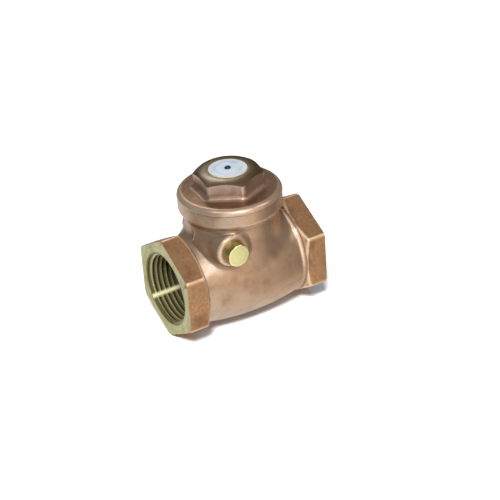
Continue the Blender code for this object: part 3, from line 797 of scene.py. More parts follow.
def outline_distance(p, q, outline):
    """Distance from a flat outline, negative inside."""
    best = np.full(np.shape(p), 1e9)
    inside = np.zeros(np.shape(p), bool)
    for (ax, ay), (bx, by) in zip(outline, outline[1:] + outline[:1]):
        dx, dy = bx - ax, by - ay
        t = np.clip(((p - ax) * dx + (q - ay) * dy) / (dx * dx + dy * dy), 0, 1)
        best = np.minimum(best, np.hypot(p - ax - t * dx, q - ay - t * dy))
        if dy:
            inside ^= ((ay > q) != (by > q)) & (p < ax + (q - ay) * dx / dy)
    return np.where(inside, -best, best)


hub_top = PIN_Z + 1.2
side_view = [(EYE_X, -EYE_R - 0.2), (EYE_BACK_X, -EYE_R - 0.2), (EYE_BACK_X, ARM_BEND_Z + 1.2)]
side_view += [(PIN_X + 1.6, hub_top + 1.0), (PIN_X - 1.0, hub_top)]
side_view += [(PIN_X + 0.6, PIN_Z - HUB_R + 0.4), (EYE_X, ARM_BEND_Z + 0.9)]
half_arm, top_half, foot = ARM_W / 2, HUB_HALF - HUB_PROUD, PIN_Z - HUB_R + 0.8
eye_turns = [radians(140 + 280 * i / 32) for i in range(33)]
right_side = [(half_arm, EYE_R * 0.95), (half_arm, ARM_BEND_Z), (top_half * 0.75, foot)]
right_side += [(top_half, PIN_Z - 1), (top_half, PIN_Z + 3)]
front_view = [(EYE_R * cos(t), EYE_R * sin(t)) for t in eye_turns]
front_view += right_side + [(-y, z) for y, z in reversed(right_side)]


def arm_distance(x, y, z):
    plate = trimmed(outline_distance(x, z, side_view), outline_distance(y, z, front_view), 0.45)
    hub = trimmed(np.hypot(x - PIN_X, z - PIN_Z) - HUB_R, np.abs(y) - HUB_HALF, 0.3)
    return joined(plate, hub, 0.5)


arm = cast_form(
    "swing_arm_casting",
    arm_distance,
    low=(PIN_X - HUB_R - 1, -HUB_HALF - 1, -EYE_R - 1),
    high=(EYE_BACK_X + 1, HUB_HALF + 1, PIN_Z + HUB_R + 1),
    voxel=0.26,
    relief=lambda points: sand_relief(points, height=0.02, grain=1.6, seed=23.0),
)
hub_hole = rod("hub_hole", "Y", -HUB_HALF - 2, HUB_HALF + 2, PIN_R + RUNNING, pin_centre, 64)
eye_hole = rod("eye_hole", "X", EYE_X - 1, EYE_BACK_X + 1, STUD_R + RUNNING, steps=64)
shaped(arm, "DIFFERENCE", hub_hole, eye_hole)
print("swing arm", len(arm.data.polygons), "faces")

# %% [markdown]
# ## The disc assembly
# The holder is turned with a stud on each side. In its front lies the soft disc that meets the seat,
# under a washer and a nut. The stud at the back goes through the arm's eye and ends in another washer
# and nut, so the disc can turn a little in the arm and seat itself evenly.

# %% Turn the disc assembly
front_end, pad_x = FRONT_NUT_X - FRONT_NUT_T - STUD_PROUD, HOLDER_BACK_X + HOLDER_PAD_T
pocket_r = SOFT_R + GAP
holder_profile = [(front_end, 0), (front_end, FRONT_STUD_R - 0.3), (front_end + 0.3, FRONT_STUD_R)]
holder_profile += [(HOLDER_FLOOR_X, FRONT_STUD_R), (HOLDER_FLOOR_X, pocket_r)]
holder_profile += [(HOLDER_RIM_X + 0.15, pocket_r), (HOLDER_RIM_X, pocket_r + 0.15)]
holder_profile += [(HOLDER_RIM_X, HOLDER_R - 0.2), (HOLDER_RIM_X + 0.2, HOLDER_R)]
holder_profile += [(HOLDER_BACK_X - 0.4, HOLDER_R), (HOLDER_BACK_X, HOLDER_R - 0.4)]
holder_profile += [(HOLDER_BACK_X, HOLDER_PAD_R + 0.3), (HOLDER_BACK_X + 0.2, HOLDER_PAD_R)]
holder_profile += [(pad_x, HOLDER_PAD_R - 0.15), (pad_x, STUD_R)]
holder_profile += [(STUD_END_X - 0.3, STUD_R), (STUD_END_X, STUD_R - 0.3), (STUD_END_X, 0)]
holder = turned("disc_holder_turned", holder_profile, "X", 128)


def nut(name, low, high, across_flats, bore):
    """A hexagon nut with its corners turned down at both faces."""
    corner_r = across_flats / sqrt(3) + 0.01
    face_r = across_flats / 2 - 0.05
    drop = (corner_r - face_r) * tan(radians(30))
    crown = [(low, 0), (low, face_r), (low + drop, corner_r)]
    crown += [(high - drop, corner_r), (high, face_r), (high, 0)]
    hole = [(low - 1, 0), (low - 1, bore + 1.3), (low + 0.3, bore)]
    hole += [(high - 0.3, bore), (high + 1, bore + 1.3), (high + 1, 0)]
    made = bar(name, hexagon(across_flats), "X", low, high)
    shaped(made, "INTERSECT", turned(name + "_crown", crown, "X", 96))
    return shaped(made, "DIFFERENCE", turned(name + "_hole", hole, "X", 64))


front_bore, back_bore = FRONT_STUD_R + GAP, STUD_R + GAP
front_low, front_nut_low = FRONT_WASHER_X - WASHER_T, FRONT_NUT_X - FRONT_NUT_T
soft = ring("soft_disc_ring", "X", SOFT_X, SOFT_X + SOFT_T, front_bore, SOFT_R, 0.15)
front_washer = ring("front_washer_ring", "X", front_low, FRONT_WASHER_X, front_bore, FRONT_WASHER_R, 0.08)
back_washer = ring("back_washer_ring", "X", WASHER_X, WASHER_X + WASHER_T, back_bore, WASHER_R, 0.08)
front_nut = nut("front_nut_hex", front_nut_low, FRONT_NUT_X, FRONT_NUT_AF, front_bore)
back_nut = nut("back_nut_hex", NUT_X, NUT_X + NUT_T, NUT_AF, back_bore)
print("disc assembly made")

# %% [markdown]
# ## Where the casting is worn and where shade is painted
# Handling and tumbling rub the raised edges bright, while the fillets and hollows are painted darker,
# partly as dark patina and partly as painted shade. How sharply the surface bends tells one from the
# other, and the distance gives that: where it spreads outward the surface is an edge, and where it
# closes in it is a hollow. Both are kept as attributes on the mesh.

# %% Measure edges and hollows


def places(elements, position):
    """Where the points or faces of a mesh lie, in millimetres, and which way they look."""
    at, way = np.empty(len(elements) * 3), np.empty(len(elements) * 3)
    elements.foreach_get(position, at)
    elements.foreach_get("normal", way)
    return at.reshape(-1, 3).T / MM, way.reshape(-1, 3).T


def keep_mark(piece, name, values):
    """Keeps one number for each point under that name, for the finishes to read."""
    marks = piece.data.attributes
    mark = marks.get(name) or marks.new(name, "FLOAT", "POINT")
    mark.data.foreach_set("value", values.astype(np.float32))


def mark_wear(piece, distance, reach=0.35):
    """Marks edges and hollows by how the distance changes all round each point."""
    at, _ = places(piece.data.vertices, "co")
    middle = distance(*at)
    bend = np.zeros(len(middle))
    for axis in range(3):
        for way in (-reach, reach):
            moved = at.copy()
            moved[axis] += way
            bend += (distance(*moved) - middle) / reach**2
    keep_mark(piece, "edge", np.clip(bend * 0.9 - 0.12, 0, 1))
    # The hollow mark drives painted shade in the cast finishes, partly standing for dark patina.
    keep_mark(piece, "hollow", np.clip(-bend * 1.6, 0, 1))
    return bend


def mark_rubbed(piece, keep, wear_and_highlight=0.0):
    """Less wear where keep is under 1, and at least the mark in the last argument: wear, and on the bead a
    painted highlight.
    """
    worn = np.empty(len(piece.data.vertices), np.float32)
    piece.data.attributes["edge"].data.foreach_get("value", worn)
    keep_mark(piece, "edge", np.maximum(worn * keep, np.clip(wear_and_highlight, 0, 2)))


body_bend = mark_wear(body, casting_distance)
mark_wear(cap, cap_distance)
mark_wear(arm, arm_distance)
print("sharpest edge bends", body_bend.max().round(2), "per mm")

# %% [markdown]
# Two places get marks of their own. The bead beside the outlet stands proud, so its wear mark is raised
# beyond what its bend alone says: partly wear, partly a painted highlight. The cut rims where cap and
# collar meet aren't rubbed at all. On the cap's flange and on the ends' upward faces, a third mark keeps
# where painted shade goes, darker towards one side of the cap.

# %% Rub the bead and let dirt settle
(x, y, z), way = places(body.data.vertices, "co")
# The bead's mark is raised beyond its bend: partly wear, partly a painted highlight.
from_bead = np.hypot(x - (OUTLET_INNER - SHOULDER_W + 0.1), np.hypot(y, z) - (SHOULDER_R + 0.1))
bead = 2 * (0.95 - from_bead) * np.clip((z + 4) / 9, 0.2, 1)
mark_rubbed(body, np.clip((COLLAR_TOP - z - 0.1) / 0.4, 0, 1), bead)
# Painted shade on the ends' faces that look upward.
on_ends = (x < INLET_INNER - 0.3) | (x > OUTLET_INNER + 0.3)
keep_mark(body, "upward_shade", on_ends * np.clip((way[2] - 0.45) * 2.2, 0, 0.28))

(x, y, z), way = places(cap.data.vertices, "co")
mark_rubbed(cap, np.clip((z - COLLAR_TOP - 0.35) / 0.3, 0, 1))
# Painted shade on the flange's top, between the hexagon's foot and the rim.
beside = np.clip((hexagon_distance(x, y, CAP_AF, CAP_TURN, CAP_HEX_EDGE) - 1.0) / 0.8, 0, 1)
within = np.clip((FLANGE_R - 1.5 - np.hypot(x, y)) / 0.6, 0, 1)
upward = (way[2] > 0.6) & (z < CAP_HEX_LOW + 0.5)
# Painted shade is darker towards one side of the cap.
more = np.clip(0.8 - 0.02 * (0.87 * x + 0.49 * y), 0.2, 1.0)
keep_mark(cap, "upward_shade", more * beside * within * upward)
# The upward share printed here is where the cap's painted shade can lie.
print(f"dirt can lie on {upward.mean():.0%} of the cap, and the bead is {(bead > 0).mean():.1%} of the body")

# %% [markdown]
# ## Finishes
# A finish is a small recipe of nodes round one Principled shader. The pattern in it follows from how the
# surface was made: clouds for cast skin, rings for a turned face. Object coordinates are in metres here,
# so a noise scale of 1000 gives spots about one millimetre wide.

# %% Node helper


class Signal:
    """What a node gives out. A sum or a product of signals makes the Math node that works it out."""

    def __init__(self, finish, socket):
        self.finish, self.socket = finish, socket

    def __add__(self, other):
        return self.finish.math("ADD", self, other)

    def __sub__(self, other):
        return self.finish.math("SUBTRACT", self, other)

    def __rsub__(self, other):
        return self.finish.math("SUBTRACT", other, self)

    def __mul__(self, other):
        return self.finish.math("MULTIPLY", self, other)

    def __truediv__(self, other):
        return self.finish.math("DIVIDE", self, other)

    def __abs__(self):
        return self.finish.math("ABSOLUTE", self)


def rgba(value):
    """A colour or a grey, with its alpha."""
    return (*value, 1) if isinstance(value, tuple) else (value, value, value, 1)


def shade(colour, share):
    return tuple(min(share * c, 1.0) for c in colour)


class Finish:
    """One material and short names for the nodes that go into it."""

    def __init__(self, name):
        self.material = bpy.data.materials.new(name)
        self.material.use_nodes = True
        self.tree = self.material.node_tree
        self.shader = self.tree.nodes["Principled BSDF"]
        self.place = self.node("ShaderNodeTexCoord", "Object")

    def node(self, kind, output, inputs=None, **settings):
        """Makes a node, sets and feeds it, and returns one of its outputs."""
        made = self.tree.nodes.new(kind)
        for key, value in settings.items():
            setattr(made, key, value)
        for key, value in (inputs or {}).items():
            self.feed(made.inputs[key], value)
        return Signal(self, made.outputs[output])

    def feed(self, socket, value):
        if isinstance(value, Signal):
            self.tree.links.new(value.socket, socket)
        else:
            socket.default_value = value

    def math(self, operation, *values):
        return self.node("ShaderNodeMath", 0, dict(enumerate(values)), operation=operation)

    def axes(self):
        """The three coordinates of a place."""
        made = self.node("ShaderNodeSeparateXYZ", 0, {0: self.place}).socket.node
        return [Signal(self, socket) for socket in made.outputs]

    def length(self, a, b):
        return self.math("SQRT", a * a + b * b)

    def clouds(self, scale, detail=3.0, roughness=0.55, place=None, distortion=0.0):
        inputs = {"Vector": place or self.place, "Scale": scale, "Detail": detail}
        inputs.update({"Roughness": roughness, "Distortion": distortion})
        return self.node("ShaderNodeTexNoise", 0, inputs)

    def ramp(self, value, *stops):
        made = self.node("ShaderNodeValToRGB", 0, {0: value})
        elements = made.socket.node.color_ramp.elements
        while len(elements) < len(stops):
            elements.new(0.5)
        for element, (at, colour) in zip(elements, stops):
            element.position, element.color = at, rgba(colour)
        return made

    def blend(self, share, first, second, kind="MIX"):
        first, second = (v if isinstance(v, Signal) else rgba(v) for v in (first, second))
        inputs = {0: share, 6: first, 7: second}
        return self.node("ShaderNodeMix", 2, inputs, data_type="RGBA", blend_type=kind)

    def mark(self, name):
        return self.node("ShaderNodeAttribute", "Fac", attribute_name=name)

    def bump(self, height, distance, strength=1.0, under=None):
        inputs = {"Height": height, "Distance": distance, "Strength": strength}
        return self.node("ShaderNodeBump", 0, {**inputs, "Normal": under} if under else inputs)

    def set(self, **sockets):
        for name, value in sockets.items():
            value = rgba(value) if isinstance(value, tuple) else value
            self.feed(self.shader.inputs[name.replace("_", " ")], value)
        return self.material


print("a darker bronze:", [round(c, 2) for c in shade((0.58, 0.43, 0.31), 0.45)])

# %% Cast finishes


def tumbled_bronze(name, light, mid, dark, stain, stained, grain, rough, hollow_shade=0.6, wear=1.0):
    """Bronze with its cast skin: colour clouds, stains, rubbed edges, painted shade in hollows and on tops.
    """
    f = Finish(name)
    clouds = f.clouds(150, 4, 0.6)
    spots = f.clouds(900, 3, 0.65, distortion=0.4)
    edge = f.mark("edge")
    colour = f.ramp(clouds, (0.32, dark), (0.5, mid), (0.7, light))
    spread = f.ramp(spots * 0.6 + clouds * 0.4, (0.44, 0.0), (0.6, 1.0))
    colour = f.blend(spread * stained, colour, stain)
    # Painted shade in the hollows, partly dark patina.
    colour = f.blend(f.mark("hollow") * hollow_shade, colour, shade(dark, 0.45))
    # Painted shade on the marked upward faces, in a dark stain colour.
    painted_top_shade = f.mark("upward_shade") * f.ramp(spots, (0.3, 1.0), (0.65, 0.8))
    colour = f.blend(painted_top_shade, colour, shade(stain, 0.42))
    # Lighter worn edges; on the outlet's bead this is also a painted highlight.
    colour = f.blend(edge * (0.75 * wear), colour, shade(light, 1.25))
    skin = f.bump(f.clouds(1400, 4, 0.7), 0.00005, grain)
    skin = f.bump(f.clouds(420, 2, 0.5), 0.00008, grain, skin)
    gloss = (spots - 0.5) * 0.25 + rough - edge * 0.12
    metal = 0.9 - edge * (0.2 * wear)
    return f.set(Base_Color=colour, Metallic=metal, Roughness=gloss, Normal=skin)


belly_bronze = tumbled_bronze(
    "tumbled_bronze",
    light=(0.66, 0.50, 0.375),
    mid=(0.58, 0.43, 0.31),
    dark=(0.45, 0.31, 0.21),
    stain=(0.52, 0.32, 0.19),
    stained=0.25,
    grain=0.22,
    rough=0.36,
)
hex_bronze = tumbled_bronze(
    "rough_bronze",
    light=(0.68, 0.50, 0.33),
    mid=(0.57, 0.40, 0.25),
    dark=(0.38, 0.22, 0.12),
    stain=(0.56, 0.25, 0.09),
    stained=0.75,
    grain=0.8,
    rough=0.42,
)
cap_bronze = tumbled_bronze(
    "cap_bronze",
    light=(0.66, 0.49, 0.39),
    mid=(0.56, 0.40, 0.31),
    dark=(0.38, 0.25, 0.18),
    stain=(0.43, 0.25, 0.14),
    stained=0.45,
    grain=0.35,
    rough=0.36,
    hollow_shade=0.0,
    wear=0.4,
)
inner_bronze = tumbled_bronze(
    "inner_bronze",
    light=(0.62, 0.46, 0.28),
    mid=(0.52, 0.37, 0.22),
    dark=(0.38, 0.26, 0.15),
    stain=(0.45, 0.27, 0.12),
    stained=0.2,
    grain=0.5,
    rough=0.42,
)
print("cast finishes ready")

# %% [markdown]
# ### Turned faces
# A cutting tool leaves fine rings round the axis of the lathe. The distance from that axis alone drives
# a thin noise, so the marks come out as rings of uneven width, without a picture wrapped on the face.

# %% Turned finishes


def turned_metal(name, axis, shades, rough, cut, tarnish=0.2, centre=(0, 0, 0), scale=2600, metal=1.0):
    """Metal with the fine rings of a lathe about an axis through centre, in a light and a dark shade."""
    light, dark = shades
    f = Finish(name)
    along = "XYZ".index(axis)
    at = f.axes()
    legs = [at[i] - centre[i] * MM for i in range(3) if i != along]
    spot = f.node("ShaderNodeCombineXYZ", 0, {0: f.length(*legs), 1: at[along]})
    rings = f.clouds(scale, 2, 0.5, spot)
    patches = f.clouds(210, 3, 0.6)
    colour = f.blend(f.ramp(rings, (0.35, 0.0), (0.65, 1.0)), dark, light)
    spread = f.ramp(patches, (0.5, 0.0), (0.75, 1.0)) * tarnish
    colour = f.blend(spread, colour, shade(dark, 0.6))
    gloss = (patches - 0.5) * 0.18 + rough
    skin = f.bump(rings, 0.00003, cut)
    return f.set(Base_Color=colour, Metallic=metal, Roughness=gloss, Normal=skin)


end_shades = (0.66, 0.63, 0.33), (0.50, 0.47, 0.23)
crown_shades = (0.38, 0.32, 0.23), (0.30, 0.24, 0.165)
face_metal = turned_metal("faced_bronze", "X", end_shades, 0.34, 0.5, tarnish=0.6)
crown_metal = turned_metal("turned_crown", "Z", crown_shades, 0.36, 0.6, tarnish=0.45)
neck_metal = turned_metal("cut_neck", "Z", ((0.74, 0.66, 0.40), (0.60, 0.52, 0.30)), 0.3, 0.3)
seat_metal = turned_metal("cut_seat", "X", ((0.78, 0.70, 0.42), (0.64, 0.56, 0.32)), 0.25, 0.4)
works_metal = turned_metal("works_brass", "X", ((0.80, 0.72, 0.42), (0.68, 0.60, 0.33)), 0.28, 0.4)

on_pin = {"axis": "Y", "centre": pin_centre}
pin_shades = (0.78, 0.70, 0.40), (0.66, 0.58, 0.31)
plug_shades = (0.93, 0.94, 0.50), (0.86, 0.88, 0.44)
# The plug's flats are a darker copy of its brass: painted shade.
shaded_flat_tones = (0.66, 0.60, 0.24), (0.46, 0.41, 0.15)
pin_metal = turned_metal("pin_brass", shades=pin_shades, rough=0.28, cut=0.3, **on_pin)
on_pin["scale"] = 1500
shaded_flat_metal = turned_metal("plug_flats_painted_shade", shades=shaded_flat_tones, rough=0.36, cut=0.2, tarnish=0.3, **on_pin)
on_pin["metal"] = 0.8
plug_metal = turned_metal("plug_brass", shades=plug_shades, rough=0.24, cut=0.4, tarnish=0.15, **on_pin)
print("turned finishes ready")

# %% [markdown]
# The thread is painted light on its crests and dark down its flanks into the groove: painted highlight
# and painted shade, where the crests are also rubbed by the pipe. How far a point lies from the axis,
# against the tapered mean radius there, tells crest from groove. Deeper in, the bore is painted darker,
# as shade. One line along the bore is a painted glint, a bright streak where a lamp's reflection would lie.

# %% Thread finish
TO_MM = 1000.0
FACE_X = (OUTLET_X - INLET_X) / 2
# Where the painted glint runs along the bore.
GLINT_AT = radians(-38.0)


def thread_finish():
    f = Finish("cut_thread")
    x, y, z = f.axes()
    radius = f.length(y, z) * TO_MM
    along = abs(x) * TO_MM
    mean = along * BORE_TAPER + (BORE_R - FACE_X * BORE_TAPER)
    groove = (radius - mean) / (2 * THREAD_HALF) + 0.5
    mouth = f.math("GREATER_THAN", along, FACE_X - 0.6)
    groove = groove * (1.0 - mouth) + mouth * 0.62
    # Painted highlight on the crests, painted shade down the flanks into the groove.
    crest, flank = (0.70, 0.66, 0.38), (0.48, 0.44, 0.20)
    side, root = (0.22, 0.19, 0.07), (0.07, 0.06, 0.02)
    colour = f.ramp(groove, (0.02, crest), (0.25, flank), (0.6, side), (0.95, root))
    worn = f.ramp(f.clouds(260, 3, 0.6), (0.45, 0.0), (0.75, 1.0))
    colour = f.blend(worn * 0.35, colour, (0.30, 0.27, 0.11))
    # Painted shade: darker deeper in the bore.
    deep = f.ramp(along / 28.0, (0.6, 0.62), (0.97, 0.0))
    colour = f.blend(deep, colour, (0.08, 0.07, 0.025))
    # A painted glint: one bright line along the bore.
    aside = abs(f.math("ARCTAN2", z, y) - GLINT_AT)
    painted_glint = f.ramp(aside / radians(6.0), (0.2, 0.85), (0.9, 0.0))
    colour = f.blend(painted_glint, colour, (0.86, 0.83, 0.50))
    metal = 0.75 - painted_glint * 0.45
    skin = f.bump(f.clouds(1800, 2, 0.5), 0.00002, 0.3)
    return f.set(Base_Color=colour, Metallic=metal, Roughness=0.27, Normal=skin)


thread_metal = thread_finish()
print("thread finish ready")

# %% [markdown]
# ### Plate, rivet, gasket and soft disc
# The plate is thin pale metal and stays bare, apart from a plain ring of printed strokes. The rivet in
# its middle is dark. The gasket is pressed fibre, and the soft disc a white plastic with a waxy sheen.

# %% Other finishes


def plate_finish():
    f = Finish("pale_plate")
    x, y, _ = f.axes()
    radius = f.length(x, y) * TO_MM
    strokes = f.math("GREATER_THAN", f.math("SINE", f.math("ARCTAN2", y, x) * 46.0), 0.1)
    gaps = f.ramp(f.clouds(300, 1, 0.5), (0.42, 0.0), (0.52, 1.0))
    band = f.math("LESS_THAN", abs(radius - 4.6), 0.55)
    cool, pale = (0.40, 0.46, 0.52), (0.52, 0.565, 0.60)
    tint = f.ramp(f.clouds(160, 2, 0.5), (0.35, cool), (0.65, pale))
    colour = f.blend(strokes * gaps * (band * 0.6), tint, (0.20, 0.24, 0.42))
    border = f.ramp(radius - 5.6, (0.35, 0.0), (0.75, 1.0))
    colour = f.blend(border * 0.8, colour, (0.52, 0.50, 0.38))
    skin = f.bump(f.clouds(2500, 2, 0.6), 0.00002, 0.3)
    return f.set(Base_Color=colour, Metallic=0.25, Roughness=0.42, Normal=skin)


def plain_finish(name, colour, darker, scale, rough, metallic, grain):
    f = Finish(name)
    tint = f.blend(f.ramp(f.clouds(scale, 4, 0.65), (0.35, 0.0), (0.65, 1.0)), darker, colour)
    skin = f.bump(f.clouds(scale * 3, 3, 0.6), 0.00004, grain)
    return f.set(Base_Color=tint, Metallic=metallic, Roughness=rough, Normal=skin)


pale_plate = plate_finish()
dark_rivet = plain_finish("dark_rivet", (0.05, 0.10, 0.16), (0.02, 0.05, 0.09), 900, 0.35, 0.8, 0.3)
fibre = plain_finish("pressed_fibre", (0.16, 0.17, 0.15), (0.08, 0.09, 0.08), 1200, 0.85, 0.0, 0.8)
soft_white = plain_finish("white_disc", (0.82, 0.81, 0.76), (0.72, 0.71, 0.66), 400, 0.45, 0.0, 0.2)
print(len(bpy.data.materials), "finishes")

# %% [markdown]
# ## Give each face its finish
# One casting shows several finishes, because some of its faces were cut. The finish follows from where
# a face lies: on the plane of an end, inside a bore, or outside on the cast skin. Faces that meet at
# more than a set angle also get a sharp edge, which keeps cut edges crisp next to smooth casting.

# %% Paint by place


def painted(piece, finishes, chosen=None, crease=50):
    piece.data.materials.clear()
    for finish in finishes:
        piece.data.materials.append(finish)
    if chosen is None:
        chosen = np.zeros(len(piece.data.polygons), np.int32)
    piece.data.polygons.foreach_set("material_index", chosen.astype(np.int32))
    piece.data.shade_smooth()
    piece.data.set_sharp_from_angle(angle=radians(crease))
    return piece


def body_faces(on_plane=0.03, beside=0.05):
    """0 belly, 1 hexagons, 2 faced ends, 3 threads, 4 seat, 5 chamber, 6 other bores."""
    (x, y, z), _ = places(body.data.polygons, "center")
    rho = np.hypot(y, z)
    outside = casting_distance(x, y, z) > -0.45
    chosen = np.zeros(len(x))
    chosen[(x < INLET_INNER - beside) | (x > OUTLET_INNER + beside)] = 1
    faced = (np.abs(x - INLET_X) < on_plane) | (np.abs(x - OUTLET_X) < on_plane)
    chosen[faced] = 2
    in_threads = (x < INLET_X + THREAD_DEPTH + 0.1) | (x > OUTLET_X - THREAD_DEPTH - 0.1)
    bored = (rho < MOUTH_R + beside) & in_threads
    chosen[bored & ~faced] = 3
    seat = (x > INLET_X + THREAD_DEPTH) & (x < SEAT_X + 0.1) & (rho < SEAT_OUT_R + 0.1)
    chosen[seat] = 4
    chosen[~outside & ~bored & ~seat & (chosen < 2)] = 5
    cap_bore = (np.hypot(x, y) < COLLAR_R) & (z > COLLAR_TOP - CAP_THREAD_DEPTH - 0.1)
    boss_hole = (np.hypot(x - PIN_X, z - PIN_Z) < PLUG_SHANK_R + GAP + beside) & (y < 0)
    chosen[(cap_bore | boss_hole) & ~outside] = 6
    return chosen


def cap_faces():
    """0 flange and hexagon, 1 turned crown, 2 skirt and hollow, 3 rim."""
    (x, y, z), _ = places(cap.data.polygons, "center")
    rho = np.hypot(x, y)
    cone = CAP_TOP - (rho - CAP_FACE_R) * tan(CAP_CHAMFER)
    chosen = np.zeros(len(x))
    chosen[(np.abs(z - np.minimum(cone, CAP_TOP)) < 0.03) & (z > CAP_HEX_LOW + 1)] = 1
    chosen[(cap_distance(x, y, z) < -0.3) & (chosen < 1)] = 2
    chosen[z < COLLAR_TOP] = 2
    chosen[(rho > FLANGE_R - 1.7) & (z > COLLAR_TOP)] = 3
    return chosen


body_metals = [belly_bronze, hex_bronze, face_metal, thread_metal, seat_metal, inner_bronze, neck_metal]
painted(body, body_metals, body_faces())
painted(cap, [cap_bronze, crown_metal, neck_metal, belly_bronze], cap_faces())
arm_at, _ = places(arm.data.polygons, "center")
painted(arm, [inner_bronze, works_metal], arm_distance(*arm_at) < -0.15)
_, plug_way = places(plug.data.polygons, "center")
painted(plug, [plug_metal, shaded_flat_metal], np.abs(plug_way[1]) < 0.5, crease=25)
painted(id_plate_pin, [dark_rivet], crease=40)
for piece, finish in ((id_plate, pale_plate), (gasket, fibre), (hinge_pin, pin_metal), (soft, soft_white)):
    painted(piece, [finish], crease=30)
painted(holder, [works_metal], crease=30)
for piece in (front_washer, back_washer, front_nut, back_nut):
    painted(piece, [works_metal], crease=25)
print("painted", len(bpy.data.meshes), "meshes")

# %% [markdown]
# ## Ride on the bodies
# Each piece stands for one solid and moves with that solid's body, so the swing arm and the disc still
# swing up when the valve opens.

# %% Bind the pieces
RIDES = [
    (body, "body", "valve", "cast_bronze"),
    (cap, "cap", "valve", "cap_bronze"),
    (gasket, "cap_gasket", "valve", "gasket_fibre"),
    (id_plate, "id_plate", "valve", "plate_metal"),
    (id_plate_pin, "id_plate_pin", "valve", "dark_pin"),
    (hinge_pin, "hinge_pin", "valve", "turned_brass"),
    (plug, "pin_plug", "valve", "turned_brass"),
    (arm, "hanger", "swing_arm", "inner_bronze"),
    (holder, "disc_holder", "disc", "inner_bronze"),
    (soft, "seat_disc", "disc", "soft_disc"),
    (front_washer, "seat_disc_washer", "disc", "turned_brass"),
    (front_nut, "seat_disc_nut", "disc", "turned_brass"),
    (back_washer, "hanger_washer", "disc", "turned_brass"),
    (back_nut, "hanger_nut", "disc", "turned_brass"),
]
for piece, node, carrier, slot in RIDES:
    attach(piece, carrier)
    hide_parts(node)
print(len(RIDES), "pieces ride on", sorted({row[2] for row in RIDES}))

# %% [markdown]
# ## Floor and surround
# The valve is shown on a pale floor, but polished bronze is mostly a mirror, and what it mirrors gives it
# its form. So the surround is made in two parts: the camera sees plain white, while the metal sees a
# dim room that is brighter in a few directions. The floor is hidden from reflections for the same reason.

# %% Floor
FLOOR_REACH = 8.0
corners = [(-1, -1), (1, -1), (1, 1), (-1, 1)]
floor_mesh = bpy.data.meshes.new("floor")
floor_mesh.from_pydata([(FLOOR_REACH * x, FLOOR_REACH * y, 0) for x, y in corners], [], [(0, 1, 2, 3)])
floor = stood("floor", floor_mesh)
floor.location.z = -END_AF / sqrt(3) * MM
floor.visible_glossy = False
floor_mesh.materials.append(Finish("white_paper").set(Base_Color=(0.93, 0.93, 0.93), Roughness=0.9))
print(f"floor {floor.location.z / MM:.1f} mm under the pipe's axis, at the lowest corners of the ends")

# %% Surround


def towards(turn, height):
    """A direction: turn in degrees from +X about Z, and height in degrees over the floor."""
    turn, height = radians(turn), radians(height)
    return Vector((cos(turn) * cos(height), sin(turn) * cos(height), sin(height)))


class Surround(Finish):
    """The studio's walls, as a brightness for each direction."""

    def __init__(self, name):
        self.world = bpy.data.worlds.new(name)
        self.world.use_nodes = True
        self.tree = self.world.node_tree
        self.place = self.node("ShaderNodeTexCoord", "Generated")

    def facing(self, way, start, end):
        """Rises from 0 to 1 as a direction turns towards way."""
        pair = {0: self.place, 1: way}
        dot = self.node("ShaderNodeVectorMath", "Value", pair, operation="DOT_PRODUCT")
        range_ = {0: dot, 1: start, 2: end}
        return self.node("ShaderNodeMapRange", 0, range_, interpolation_type="SMOOTHSTEP")


studio = Surround("studio")
low = studio.blend(studio.facing(towards(-20, 0), 0.45, 0.95), 0.86, 0.07)
high = studio.blend(studio.facing(towards(-100, 5), 0.5, 1.0), 0.14, 0.90)
high = studio.blend(studio.facing((0, 0, 1), 0.55, 1.0), high, 0.28)
low = studio.blend(studio.facing(towards(180, -25), 0.7, 0.98), low, 0.40)
light = studio.blend(studio.facing((0, 0, 1), -0.3, -0.05), low, high)
warm = studio.blend(studio.facing(towards(-15, 25), -0.3, 0.5), 1.0, (1.0, 0.74, 0.52))
light = studio.blend(1.0, light, warm, "MULTIPLY")
light = studio.blend(studio.node("ShaderNodeLightPath", "Is Camera Ray"), light, 1.0)
studio.feed(studio.tree.nodes["Background"].inputs["Color"], light)
bpy.context.scene.world = studio.world
studio.world.cycles_visibility.diffuse = False
bpy.context.scene.view_settings.view_transform = "Standard"
print(len(studio.tree.nodes), "nodes in the surround")

# %% [markdown]
# ## Lights and camera
# A large cool light from the upper left gives the long highlight on the belly. A small warm one fills
# from the right, and two behind the valve draw its rims. A fifth lamp, a soft sun that the metal doesn't
# mirror, lays the shadow on the floor. The camera looks down on the valve from the plug's side and the
# inlet, far off with a long lens, so the two hexagons look nearly the same size, and it is a little tilted.

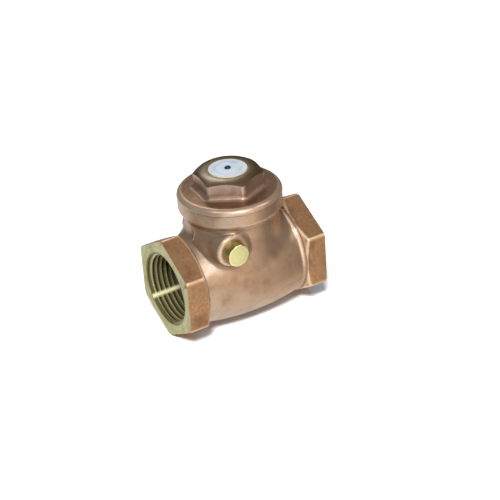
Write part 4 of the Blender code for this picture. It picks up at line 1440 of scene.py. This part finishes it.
# %% Lights
LAMP_AWAY = 0.9
LAMPS = [
    ("key", towards(-97, 47), 0.50, 3.15, (0.88, 0.96, 1.12)),
    ("fill", towards(-36, 41), 0.22, 3.5, (1.0, 0.92, 0.82)),
    ("rim", towards(72, 46), 0.25, 4.2, (1, 1, 1)),
    ("side", towards(-158, 58), 0.25, 2.4, (1, 1, 1)),
]


def aimed(name, kind, way, energy):
    """A lamp that shines on the valve from a direction."""
    lamp = stood(name, bpy.data.lights.new(name, kind))
    lamp.data.energy = energy
    lamp.rotation_mode = "QUATERNION"
    lamp.rotation_quaternion = way.to_track_quat("Z", "Y")
    return lamp


for name, way, size, radiance, colour in LAMPS:
    lamp = aimed(name, "AREA", way, radiance * pi * size * size)
    lamp.location = way * LAMP_AWAY
    lamp.data.size, lamp.data.color = size, colour
table = aimed("table", "SUN", towards(-124, 48), 5.3)
table.data.angle = radians(12)
table.visible_glossy = False
print(len(LAMPS), "soft lights and a sun")

# %% Camera
AZIMUTH, ELEVATION, ROLL = radians(29.1), radians(30.75), radians(4.42)
CAMERA_DISTANCE = 533.4
PIXELS_PER_MM = 2.8325
FRAME_PIXELS = 500
SENSOR = 36
back = Vector((-sin(AZIMUTH) * cos(ELEVATION), -cos(AZIMUTH) * cos(ELEVATION), sin(ELEVATION)))
right = Vector((cos(AZIMUTH), -sin(AZIMUTH), 0))
up = back.cross(right)
side = right * cos(ROLL) - up * sin(ROLL)
top = right * sin(ROLL) + up * cos(ROLL)
eye = back * CAMERA_DISTANCE * MM
camera = stood("camera", bpy.data.cameras.new("camera"))
camera.data.sensor_width = SENSOR
camera.data.lens = PIXELS_PER_MM * CAMERA_DISTANCE / FRAME_PIXELS * SENSOR
camera.data.shift_x, camera.data.shift_y = 15.0 / FRAME_PIXELS, 13.28 / FRAME_PIXELS
camera.data.clip_start, camera.data.clip_end = 0.05, 20
camera.matrix_world = Matrix([(*row, 0) for row in (side, top, back)] + [(*eye, 1)]).transposed()
bpy.context.scene.camera = camera
print(f"lens {camera.data.lens:.1f} mm, shift {camera.data.shift_x:.3f}, {camera.data.shift_y:.3f}")
